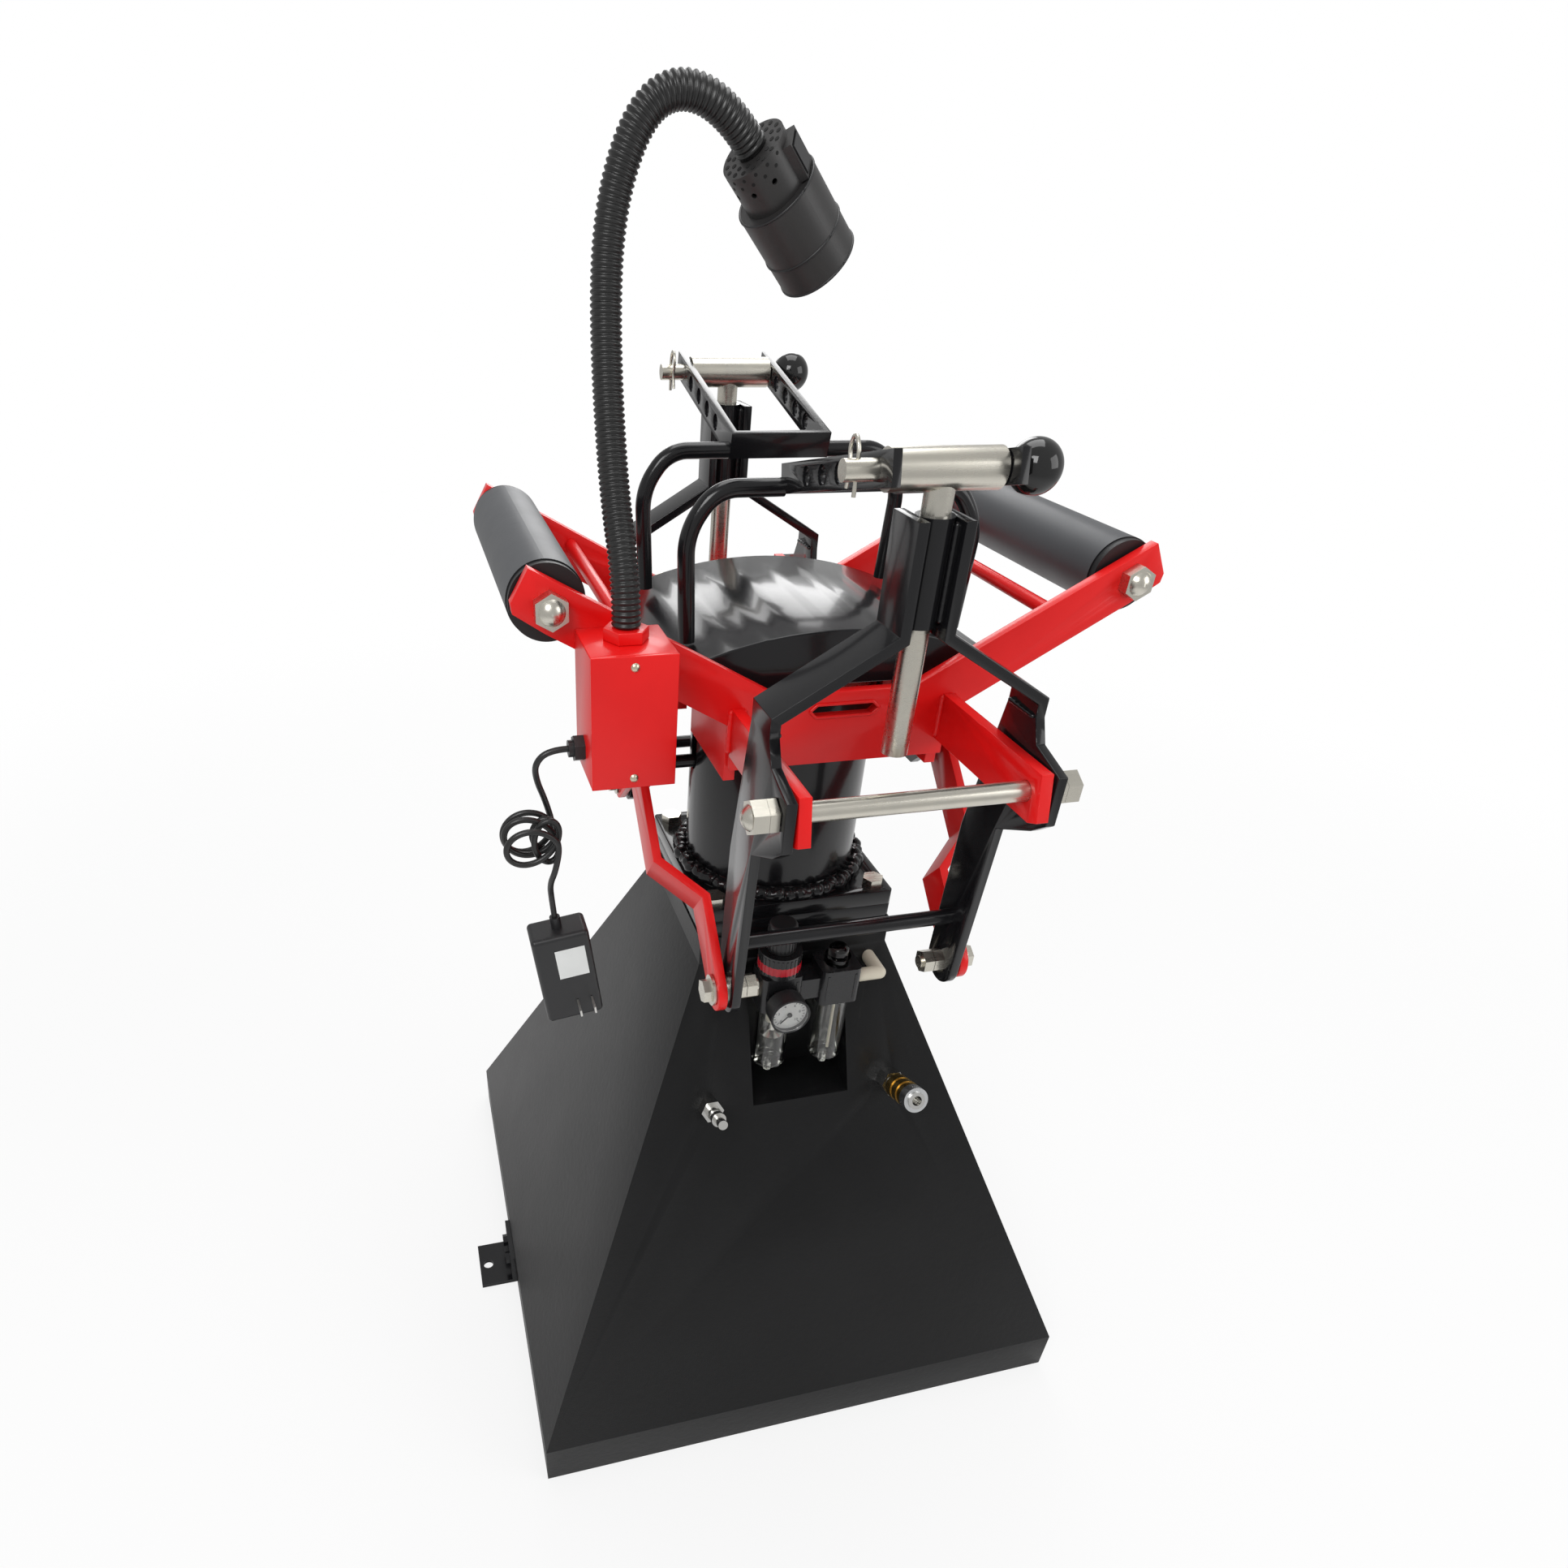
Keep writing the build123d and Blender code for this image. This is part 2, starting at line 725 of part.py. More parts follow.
def lamp_cap():
    """Rear cap of the lamp, with vent holes and the raised frame of the rocker switch."""
    bore = lamp_tube(4, lamp_cap_length, lamp_cap_radius - 2.5)
    cap = lamp_tube(0, lamp_cap_length, lamp_cap_radius) - bore
    for turn in range(60, 301, 40):
        hole = Rot(0, 0, switch_turn + turn) * Pos(lamp_cap_radius - 1, 0, 14) * Rot(0, 90, 0)
        cap = cap - lamp_plane * hole * Cylinder(vent_radius, 8)
    place = switch_place()
    raised = place * Pos(0, 0, 0.5) * Box(switch_length, switch_width, 7)
    well = place * Pos(0, 0, 2) * Box(switch_length - 2 * switch_wall, switch_width - 2 * switch_wall, 6.4)
    return cap + (raised - bore) - well


def lamp_body():
    body = lamp_tube(lamp_cap_length, lamp_length, lamp_radius, lamp_radius - 2.5)
    back = lamp_tube(lamp_cap_length, lamp_cap_length + 3, lamp_radius - 2.5)
    return body + back


def lamp_rocker():
    """Rocker with room to tip in its frame."""
    return switch_place() * Pos(0, 0, 2.6) * Box(switch_length - 5.6, switch_width - 2 * switch_wall - 1, 4.4)


def lamp_lens():
    return lamp_tube(lamp_length - 7, lamp_length - 4, lamp_radius - 2.5)


def lamp_led():
    plate = lamp_tube(lamp_cap_length + 3, lamp_cap_length + 6, lamp_radius - 6)
    return plate + lamp_tube(lamp_cap_length + 6, lamp_cap_length + 9, 8)


# Filter, regulator and lubricator -----------------------------------------------------------

def air_unit(x):
    """Body of the filter regulator or of the lubricator."""
    body = block(x - air_body_width / 2, x + air_body_width / 2, air_y - air_body_depth / 2,
                 air_y + air_body_depth / 2, air_body_low, air_body_high)
    return fillet(body.edges().filter_by(Axis.Z), 6)


def body_joiner():
    """Block between the two bodies."""
    half = air_body_width / 2
    return block(filter_x + half, lubricator_x - half, air_y - 12, air_y + 12, port_z - 12, port_z + 12)


def regulator_bracket():
    return block(filter_x - 14, lubricator_x + 10, air_y + air_body_depth / 2, pocket_back, port_z - 14,
                 window_high - 8)


def bowl(x):
    """Bowl under an air body, open at the top, with a drain."""
    cup = rod((x, air_y, bowl_low + 6), (x, air_y, air_body_low), bowl_radius, bowl_radius - 2.5)
    floor = Pos(x, air_y, bowl_low + 6) * Cone(bowl_radius - 6, bowl_radius, 6, align=(
        Align.CENTER, Align.CENTER, Align.MAX))
    drain = rod((x, air_y, bowl_low - 9), (x, air_y, bowl_low), 4)
    return cup + floor + drain


def bonnet_ring():
    """Red ring that holds the regulator's bonnet."""
    return rod((filter_x, air_y, air_body_high), (filter_x, air_y, 563), 21)


def regulator_knob():
    knob = rod((filter_x, air_y, 563.4), (filter_x, air_y, 594), 14)
    top = knob.edges().sort_by(Axis.Z)[-1]
    return fillet(top, 3)


def lubricator_dome():
    base = rod((lubricator_x, air_y, air_body_high), (lubricator_x, air_y, air_body_high + 8), 13)
    dome = rod((lubricator_x, air_y, air_body_high + 8), (lubricator_x, air_y, air_body_high + 20), 10)
    return base + fillet(dome.edges().sort_by(Axis.Z)[-1], 5)


def pressure_gauge():
    """Gauge case with its dial at the bottom of a shallow cup, on a short stem."""
    back = air_y - air_body_depth / 2
    stem = rod((filter_x, back, gauge_z), (filter_x, back - 5, gauge_z), 7)
    case = rod((filter_x, back - 5, gauge_z), (filter_x, gauge_front, gauge_z), gauge_radius)
    cup = rod((filter_x, gauge_front + 6, gauge_z), (filter_x, gauge_front - 1, gauge_z), gauge_radius - 2)
    return stem + case - cup


def gauge_glass():
    return rod((filter_x, gauge_front + 2, gauge_z), (filter_x, gauge_front + 0.6, gauge_z),
               gauge_radius - 2)


def gauge_needle():
    level = gauge_front + 4
    hub = rod((filter_x, level + 1, gauge_z), (filter_x, level - 0.8, gauge_z), 2.4)
    reach = 13.0
    angle = radians(225)
    tip = (filter_x + reach * cos(angle), level, gauge_z + reach * sin(angle))
    return hub + rod((filter_x, level, gauge_z), tip, 0.6)


def elbow(x, side):
    """Push-in elbow from an air body's side port back through the cabinet's face."""
    body = filter_x - air_body_width / 2 if side < 0 else lubricator_x + air_body_width / 2
    arm = rod((body, air_y, port_z), (x, air_y, port_z), elbow_radius)
    turn = Pos(x, air_y, port_z) * Sphere(elbow_radius)
    leg = rod((x, air_y, port_z), (x, manifold_front, port_z), elbow_radius)
    return arm + turn + leg


def air_manifold():
    """Block behind the outlet elbow that feeds the cylinder and the quick coupler."""
    return block(elbow_right_x - 13, elbow_right_x + 13, manifold_front, manifold_front + 30,
                 port_z - 15, port_z + 13)


def air_hoses():
    inner = outlet_plane(0).origin - outlet_plane(0).z_dir * 12
    bend = outlet_plane(0).origin - outlet_plane(0).z_dir * 54
    supply = [(-outlet_x, inner.Y, inner.Z), (-outlet_x, bend.Y, bend.Z), (-98, -72, 382),
              (-88, -48, 425), (-75, -48, 480), (elbow_left_x, -58, port_z),
              (elbow_left_x, manifold_front, port_z)]
    cylinder = [(elbow_right_x, manifold_front + 30, 520), (elbow_right_x, -36, 520), (64, -12, 519),
                (34, -2, 508), (6, 0, 512), (0, 0, neck_top - 22), (0, 0, neck_top)]
    coupler = [(elbow_right_x, -78, port_z - 15), (elbow_right_x, -78, 466), (90, -68, 430),
               (98, -78, 390), (outlet_x, bend.Y, bend.Z), (outlet_x, inner.Y, inner.Z)]
    return group(bent_tube(supply, port_radius, "supply hose"),
                 bent_tube(cylinder, port_radius, "cylinder hose"),
                 bent_tube(coupler, port_radius, "coupler hose"))


# Air inlet and outlet -----------------------------------------------------------------------

def turned(x, *steps, bore=0.0):
    """Turned piece on the sloping face: radius and length of each step, outwards."""
    plane = outlet_plane(x)
    height = 0.0
    piece = None
    for radius, length in steps:
        section = Circle(radius)
        step = extrude(plane.offset(height) * section, amount=length)
        piece = step if piece is None else piece + step
        height += length
    if bore:
        piece = piece - extrude(plane.offset(height - 24) * Circle(bore), amount=30)
    return piece


def wall_shank(x):
    """Threaded shank through the cabinet's wall with its lock nut inside."""
    plane = outlet_plane(x)
    shank = extrude(plane * Circle(elbow_radius + 1 - seat), amount=-12)
    nut = extrude(plane.offset(-sheet) * (RegularPolygon(12, 6) - Circle(elbow_radius + 1 - seat)), amount=-6)
    return shank, nut


def quick_coupler():
    shank, nut = wall_shank(outlet_x)
    hexed = extrude(outlet_plane(outlet_x) * RegularPolygon(14, 6), amount=18)
    inner = extrude(outlet_plane(outlet_x).offset(18) * Circle(9), amount=coupler_length - 18)
    body = hexed + inner + shank
    bore = extrude(outlet_plane(outlet_x).offset(coupler_length - 24) * Circle(coupler_bore), amount=30)
    return group(body - bore, nut)


def coupler_sleeve():
    """Outer sleeve that is drawn back to let the plug go."""
    plane = outlet_plane(outlet_x)
    section = Circle(coupler_radius) - Circle(9 + running)
    sleeve = extrude(plane.offset(24) * section, amount=coupler_length - 26)
    for low in (34, 46):
        sleeve = sleeve - extrude(plane.offset(low) * (Circle(20) - Circle(coupler_radius - 1)), amount=4)
    return sleeve


def inlet_nipple():
    shank, nut = wall_shank(-outlet_x)
    plane = outlet_plane(-outlet_x)
    hexed = extrude(plane * RegularPolygon(12, 6), amount=14)
    stem = turned(-outlet_x, (7.5, 24), (5.5, 6), (7.5, 6), (nipple_radius, nipple_length - 36))
    return group(hexed + stem + shank, nut)


# Cord and adapter ---------------------------------------------------------------------------

hank_centre = (-264.5, cord_y, 733.0)
hank_size = (53.0, 22.0, 48.0)
upper_cord_route = [
    (box_left - gland_length, cord_y, cord_z), (-253, cord_y, cord_z), (-264, cord_y - 1, 797),
    (-262, cord_y, 777), (-262, cord_y, 757),
]
lower_cord_route = [
    (-259, cord_y, 709), (-259, cord_y, 691), (-256, cord_y + 1, 673), (-253.5, cord_y + 1, 655.2),
]


def cord_upper():
    return bent_tube(upper_cord_route, cord_radius, "upper cord")


def cord_lower():
    return bent_tube(lower_cord_route, cord_radius, "lower cord")


def cord_hank():
    body = Pos(*hank_centre) * Box(*hank_size)
    return fillet(body.edges(), 8)


def adapter_place():
    top = lower_cord_route[-1]
    return Pos(*top) * Rot(0, -adapter_tilt, 0)


def adapter():
    """Mains adapter with two flat blades low on its front and a strain relief on top."""
    place = adapter_place()
    body = place * Pos(0, 0, -56) * fillet(Box(50, 32, 90).edges(), 4)
    relief = place * Pos(0, 0, -6) * Cylinder(4.5, 12)
    blades = [place * Pos(x, -24, -84) * Box(1.6, 18, 6.4) for x in (4, 16.7)]
    return body + relief + blades[0] + blades[1]


# Nodes --------------------------------------------------------------------------------------

lug_bolts = [lug_bolt(lug_y - lug_bolt_pitch / 2), lug_bolt(lug_y + lug_bolt_pitch / 2)]
front_v = v_plate()
front_ears = both_sides(ear_plate())
front_pivot = group(pivot_rod(), both_sides(pivot_nut()))
axles = group(roller_axle(-roller_x), roller_axle(roller_x))
axle_nuts = group(roller_nut(-roller_x), roller_nut(roller_x))
left_end = roller_end(-roller_x)
right_end = roller_end(roller_x)
lever_right = group(lever_plate(), lever_bar())
link_right = link()

front_side = {
    "lever_left": group(lever_right.mirror(Plane.YZ)),
    "lever_right": lever_right,
    "lever_sleeve": group(lever_sleeve(), lever_spreader()),
    "lever_bolts": both_sides(lever_bolt()),
    "links": both_sides(link_right),
    "post": post(),
    "hook_pin": group(hook_pin(), ball_knob(), spring_clip()),
    "hook_bracket": hook_bracket(),
    "hook_rods": both_sides(hook_rod()),
}

nodes = {
    "base_cabinet": base_cabinet(),
    "regulator_pocket": regulator_pocket(),
    "anchor_lugs": both_sides(group(anchor_lug(), *lug_bolts)),
    "base_top_plate": flange_plate(neck_top),
    "cylinder_flange": flange_plate(neck_top + flange_thick),
    "flange_bolts": flange_bolts(),
    "cylinder_tube": group(cylinder_tube(), cylinder_weld()),
    "cylinder_cap": cylinder_cap(),
    "v_plate_front": front_v,
    "v_plate_rear": rear(front_v),
    "frame_webs": group(front_ears, rear(front_ears), tie_rod(-tie_x), tie_rod(tie_x)),
    "frame_axles": group(front_pivot, rear(front_pivot), axles, axle_nuts, rear(axle_nuts)),
    "junction_box": group(junction_box(), neck_base()),
    "box_cover": group(box_cover(), box_screws()),
    "cable_gland": cable_gland(),
    "air_units": group(air_unit(filter_x), air_unit(lubricator_x), body_joiner(), regulator_bracket()),
    "air_bowls": group(bowl(filter_x), bowl(lubricator_x), lubricator_dome()),
    "bonnet_ring": bonnet_ring(),
    "pressure_gauge": group(pressure_gauge(), gauge_glass()),
    "elbow_fittings": group(elbow(elbow_left_x, -1), elbow(elbow_right_x, 1), air_manifold()),
    "air_hoses": air_hoses(),
    "quick_coupler": quick_coupler(),
    "inlet_nipple": inlet_nipple(),
    "cord_upper": cord_upper(),
    "cord_hank": cord_hank(),
    "cord_lower": cord_lower(),
    "adapter": adapter(),
    "piston": group(piston(), piston_seal()),
    "piston_rod": piston_rod(),
    "saddle": saddle() + saddle_hub(),
    "cross_shaft": group(cross_shaft(), both_sides(shaft_nut())),
    "link_yokes": both_sides(group(link_yoke(), link_stud(-stud_y), link_stud(stud_y))),
    "roller_left": group(roller(-roller_x), left_end, rear(left_end)),
    "roller_right": group(roller(roller_x), right_end, rear(right_end)),
    "gooseneck": gooseneck(),
    "lamp_cap": lamp_cap(),
    "lamp_body": group(lamp_body(), lamp_led()),
    "lamp_lens": lamp_lens(),
    "lamp_rocker": lamp_rocker(),
    "regulator_knob": regulator_knob(),
    "gauge_needle": gauge_needle(),
    "coupler_sleeve": coupler_sleeve(),
}
for name, shape in front_side.items():
    nodes["front_" + name] = shape
    nodes["rear_" + name] = rear(shape)

for name, shape in nodes.items():
    export_step(shape, "parts/" + name + ".step")
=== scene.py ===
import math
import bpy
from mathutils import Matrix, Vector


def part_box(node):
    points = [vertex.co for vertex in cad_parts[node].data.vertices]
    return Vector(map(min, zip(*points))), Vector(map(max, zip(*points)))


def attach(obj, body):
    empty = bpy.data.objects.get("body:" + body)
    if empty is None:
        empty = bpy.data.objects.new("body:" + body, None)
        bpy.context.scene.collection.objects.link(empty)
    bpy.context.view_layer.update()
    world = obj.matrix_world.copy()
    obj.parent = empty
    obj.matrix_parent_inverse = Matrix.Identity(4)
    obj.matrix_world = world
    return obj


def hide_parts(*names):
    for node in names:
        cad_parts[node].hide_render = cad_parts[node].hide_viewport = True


bl_info = {
    "name": "Tyre spreader finish",
    "version": (1, 0, 0),
    "blender": (4, 5, 0),
    "location": "View3D > Sidebar > Tyre spreader",
    "description": "Finishes, cord, ribs, welds and gauge of an air-powered tyre spreader",
    "category": "Object",
}

import bmesh
import bpy
from bpy.props import FloatProperty, FloatVectorProperty, IntProperty, PointerProperty
from mathutils import Matrix, Vector

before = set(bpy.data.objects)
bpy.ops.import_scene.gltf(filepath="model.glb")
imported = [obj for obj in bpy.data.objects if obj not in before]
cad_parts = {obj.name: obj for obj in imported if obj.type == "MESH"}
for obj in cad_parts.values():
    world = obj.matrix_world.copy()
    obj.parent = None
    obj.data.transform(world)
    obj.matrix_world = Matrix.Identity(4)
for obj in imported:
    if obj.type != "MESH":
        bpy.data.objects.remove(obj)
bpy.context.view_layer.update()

# Metres, in the same frame as the CAD: +X right, +Y back, +Z up.

# Cord: from the gland down to the hank, and from the hank to the adapter
CORD_EXIT = (-0.238, -0.170, 0.808)
UPPER_CORD = [
    CORD_EXIT, (-0.253, -0.170, 0.808), (-0.264, -0.169, 0.797), (-0.262, -0.162, 0.779),
    (-0.255, -0.1535, 0.758),
]
LOWER_CORD = [
    (-0.2535, -0.187, 0.711), (-0.2575, -0.180, 0.695), (-0.2555, -0.170, 0.675),
    (-0.2535, -0.169, 0.6552),
]
HANK_CENTRE = (-0.2645, -0.170, 0.733)
HANK_HALF_WIDE = 0.0155
HANK_HALF_HIGH = 0.0175
HANK_SWAY = 0.0115
HANK_RISE = 0.0030
POINTS_PER_TURN = 12
TURN_SPACING = 1.3

# Middle line of the gooseneck, from the box to the lamp
NECK_ROUTE = [
    (-0.193, -0.168, 0.8988), (-0.193, -0.168, 0.930), (-0.195, -0.133, 0.984),
    (-0.195, -0.105, 1.075), (-0.190, -0.095, 1.141), (-0.171, -0.092, 1.190),
    (-0.145, -0.092, 1.206), (-0.112, -0.091, 1.195), (-0.093, -0.084, 1.176),
]

# Camera: place, then yaw, pitch and roll in radians
CAMERA_PLACE = Vector((-0.3486, -0.87048, 1.139735))
CAMERA_TURN = (0.271579, 0.62036, 0.037948)
LENS = 23.169
SHIFT = (0.07394, 0.09735)
SENSOR = 36.0

# Where one CAD node changes from one material to the next
COVER_FRONT = -0.204
OUTLET_AXIS = (0.0, -0.9191, 0.3939)
SLEEVE_FRONT = 0.3570
ADAPTER_FRONT = -0.1857
KNOB_START = 0.0485
ROLLER_END = 0.1198
RED_BAND = (0.5435, 0.5525)

# Gauge, air units and lamp
GAUGE_CENTRE = (-0.029, -0.178, 0.511)
DIAL_FACE = -0.1722
DIAL_START = 225.0
DIAL_SWEEP = 270.0
AIR_Y = -0.134
FILTER_X = -0.029
LUBRICATOR_X = 0.033
SWITCH_TURN = math.radians(-35.0)


class SpreaderSizes(bpy.types.PropertyGroup):
    cord_diameter: FloatProperty(name="Cord", description="Diameter of the adapter's cord", default=0.005,
                                 unit="LENGTH")
    hank_turns: IntProperty(name="Hank turns", description="Turns of cord in the hank", default=5)
    rib_pitch: FloatProperty(name="Rib pitch", description="Distance between two ribs of the gooseneck",
                             default=0.0038, unit="LENGTH")
    neck_radius: FloatProperty(name="Gooseneck", description="Outer radius of the ribs", default=0.0107,
                               unit="LENGTH")
    edge: FloatProperty(name="Edge", description="Width of the softened edges of the plates",
                        default=0.0009, unit="LENGTH")
    weld: FloatProperty(name="Weld", description="Radius of a small weld bead", default=0.0028,
                        unit="LENGTH")
    ticks: IntProperty(name="Gauge ticks", description="Marks round the gauge's dial", default=21)


class SpreaderColours(bpy.types.PropertyGroup):
    red: FloatVectorProperty(name="Red", description="Frame paint", subtype="COLOR",
                             default=(0.70, 0.006, 0.006))
    black: FloatVectorProperty(name="Black", description="Gloss black paint", subtype="COLOR",
                               default=(0.006, 0.006, 0.007))
    zinc: FloatVectorProperty(name="Zinc", description="Zinc plate", subtype="COLOR",
                              default=(0.66, 0.63, 0.55))
    brass: FloatVectorProperty(name="Brass", description="Coupler brass", subtype="COLOR",
                               default=(0.62, 0.42, 0.14))
    sleeve: FloatVectorProperty(name="Roller", description="Roller sleeves", subtype="COLOR",
                                default=(0.050, 0.053, 0.058))
    floor: FloatVectorProperty(name="Floor", description="Studio floor", subtype="COLOR",
                               default=(0.80, 0.80, 0.80))


def sizes():
    return bpy.context.scene.spreader_sizes


def colours():
    return bpy.context.scene.spreader_colours


# Shader maths ---------------------------------------------------------------------------------

class Socket:
    """A node's output with arithmetic that adds the Math nodes."""

    def __init__(self, tree, output):
        self.tree = tree
        self.output = output

    def math(self, operation, other=0.0, flip=False):
        first, second = (other, self) if flip else (self, other)
        return self.tree.node("ShaderNodeMath", {"operation": operation}, {0: first, 1: second})

    def __add__(self, other):
        return self.math("ADD", other)

    def __radd__(self, other):
        return self.math("ADD", other, True)

    def __sub__(self, other):
        return self.math("SUBTRACT", other)

    def __rsub__(self, other):
        return self.math("SUBTRACT", other, True)

    def __mul__(self, other):
        return self.math("MULTIPLY", other)

    def __rmul__(self, other):
        return self.math("MULTIPLY", other, True)

    def __gt__(self, other):
        return self.math("GREATER_THAN", other)

    def __lt__(self, other):
        return self.math("LESS_THAN", other)

    def size(self):
        return self.math("ABSOLUTE")


class Finish:
    """A material being built: nodes are added through one method."""

    def __init__(self, name):
        self.material = bpy.data.materials.new(name)
        self.material.use_nodes = True
        self.nodes = self.material.node_tree.nodes
        self.links = self.material.node_tree.links
        self.shader = self.nodes["Principled BSDF"]

    def node(self, kind, settings=None, values=None, out=0):
        made = self.nodes.new(kind)
        for key, value in (settings or {}).items():
            setattr(made, key, value)
        for key, value in (values or {}).items():
            self.feed(made.inputs[key], value)
        return Socket(self, made.outputs[out])

    def feed(self, socket, value):
        if isinstance(value, Socket):
            self.links.new(value.output, socket)
        elif hasattr(value, "__len__") and len(value) == 3 and socket.type == "RGBA":
            socket.default_value = (*value, 1.0)
        else:
            socket.default_value = value

    def place(self):
        return self.node("ShaderNodeTexCoord", out="Object")

    def along(self, axis):
        return self.node("ShaderNodeSeparateXYZ", values={0: self.place()}, out=axis)

    def noise(self, scale, detail=3.0, roughness=0.5, stretch=None):
        where = self.place()
        if stretch:
            where = self.node("ShaderNodeMapping", values={"Vector": where, "Scale": stretch})
        return self.node("ShaderNodeTexNoise", values={
            "Vector": where, "Scale": scale, "Detail": detail, "Roughness": roughness})

    def mix(self, mask, first, second):
        made = self.nodes.new("ShaderNodeMix")
        made.data_type = "RGBA"
        self.feed(made.inputs[0], mask)
        self.feed(made.inputs[6], first)
        self.feed(made.inputs[7], second)
        return Socket(self, made.outputs[2])

    def bump(self, height, strength, distance):
        return self.node("ShaderNodeBump", values={
            "Height": height, "Strength": strength, "Distance": distance})

    def set(self, **inputs):
        names = {"colour": "Base Color", "rough": "Roughness", "metal": "Metallic", "coat": "Coat Weight",
                 "coat_rough": "Coat Roughness", "shine": "Specular IOR Level", "normal": "Normal",
                 "clear": "Transmission Weight",
                 "ior": "IOR", "glow": "Emission Color", "glow_strength": "Emission Strength"}
        for key, value in inputs.items():
            self.feed(self.shader.inputs[names[key]], value)
        return self.material


def paint(name, colour, rough, peel, speckle=0.0, shine=0.4, coat=0.35, screws=None):
    """Glossy powder coat: orange peel, faint haze, and plated screws where a mask says so."""
    f = Finish(name)
    haze = f.noise(9.0, 4.0, 0.6)
    fine = f.noise(900.0, 2.0, 0.5)
    wave = f.noise(160.0, 2.0, 0.4)
    shade = tuple(min(1.0, c * 1.35 + 0.004) for c in colour)
    tint = f.mix((haze - 0.35) * 0.9, colour, shade)
    height = wave + fine * speckle
    metal = 0.0
    if screws:
        metal = screws(f)
        tint = f.mix(metal, tint, (0.66, 0.60, 0.46))
        coat = (1.0 - metal) * coat
    return f.set(colour=tint, metal=metal, rough=haze * 0.10 + (rough - 0.05), coat=coat, coat_rough=0.08,
                 shine=shine, normal=f.bump(height, peel, 0.0006))


def plated(name, colour, rough=0.26, mask=None, other=(0.01, 0.01, 0.01)):
    """Zinc or nickel plate with drawn streaks; mask turns a stretch to black plastic."""
    f = Finish(name)
    cloud = f.noise(35.0, 4.0, 0.6)
    streak = f.noise(240.0, 3.0, 0.5, stretch=(0.08, 1.0, 1.0))
    warm = f.mix((cloud - 0.3) * 1.1, colour, (colour[0] * 0.78, colour[1] * 0.80, colour[2] * 0.84))
    metal = 1.0
    roughness = streak * 0.16 + (rough - 0.06)
    if mask:
        side = mask(f)
        warm = f.mix(side, warm, other)
        metal = 1.0 - side
        roughness = roughness * (1.0 - side) + side * 0.09
    return f.set(colour=warm, metal=metal, rough=roughness, normal=f.bump(streak + cloud * 0.6, 0.12, 0.0003))


def plastic(name, colour, rough, grain=0.15, blades=None):
    """Moulded plastic or rubber with a fine grain, and bright metal where a mask says so."""
    f = Finish(name)
    fine = f.noise(1400.0, 2.0, 0.5)
    blotch = f.noise(30.0, 3.0, 0.5)
    tone = f.mix(blotch * 0.5, colour, tuple(c * 1.5 + 0.003 for c in colour))
    metal = 0.0
    if blades:
        metal = blades(f)
        tone = f.mix(metal, tone, (0.70, 0.69, 0.66))
    return f.set(colour=tone, metal=metal, rough=blotch * 0.12 + (rough - 0.06),
                 normal=f.bump(fine, grain, 0.0002))


def clear(name, colour, rough=0.03, weight=0.92):
    """Clear plastic or glass, with a faint film on it."""
    f = Finish(name)
    film = f.noise(40.0, 3.0, 0.5)
    return f.set(colour=f.mix(film * 0.3, colour, (0.86, 0.88, 0.86)), rough=film * 0.06 + rough,
                 clear=weight, ior=1.46)


def ring_finish(colour):
    """Red band on the regulator's black bonnet."""
    f = Finish("bonnet_red_band")
    height = f.along("Z")
    band = (height > RED_BAND[0]) * (height < RED_BAND[1])
    blotch = f.noise(30.0, 3.0, 0.5)
    return f.set(colour=f.mix(band, (0.010, 0.010, 0.011), colour), rough=blotch * 0.1 + 0.22)


def sleeve_finish(colour):
    """Satin grey roller sleeve with black end plugs and fine turning marks."""
    f = Finish("roller_sleeve")
    end = f.along("Y").size() > ROLLER_END
    scuff = f.noise(18.0, 5.0, 0.65)
    rings = f.noise(700.0, 1.0, 0.5, stretch=(0.02, 1.0, 0.02))
    tone = f.mix(scuff * 0.5, colour, tuple(c * 1.45 for c in colour))
    return f.set(colour=f.mix(end, tone, (0.008, 0.008, 0.009)), rough=scuff * 0.18 + 0.34,
                 normal=f.bump(rings + scuff * 0.4, 0.10, 0.0003))


def sleeve_metal(name, colour):
    """Knurled brass with a bright steel front."""
    f = Finish(name)
    front = (f.along("Z") * OUTLET_AXIS[2] + f.along("Y") * OUTLET_AXIS[1]) > SLEEVE_FRONT
    cloud = f.noise(60.0, 3.0, 0.5)
    knurl = f.noise(1100.0, 1.0, 0.4)
    brass = f.mix(cloud, colour, tuple(c * 0.62 for c in colour))
    return f.set(colour=f.mix(front, brass, (0.70, 0.71, 0.72)), metal=1.0, rough=cloud * 0.2 + 0.18,
                 normal=f.bump(knurl, 0.3, 0.0003))


finishes = {}


def finish_node(node, finish):
    """Gives a CAD node a material in place of its plain one."""
    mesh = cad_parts[node].data
    mesh.materials.clear()
    mesh.materials.append(finishes[finish])


# Mesh helpers ---------------------------------------------------------------------------------

def add_mesh(name, bm, body, finish, smooth=True):
    """Closes off a bmesh as a piece that rides on a body."""
    bmesh.ops.recalc_face_normals(bm, faces=bm.faces)
    mesh = bpy.data.meshes.new(name)
    bm.to_mesh(mesh)
    bm.free()
    if smooth:
        mesh.shade_smooth()
    mesh.materials.append(finishes[finish])
    piece = bpy.data.objects.new(name, mesh)
    bpy.context.scene.collection.objects.link(piece)
    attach(piece, body)
    return piece


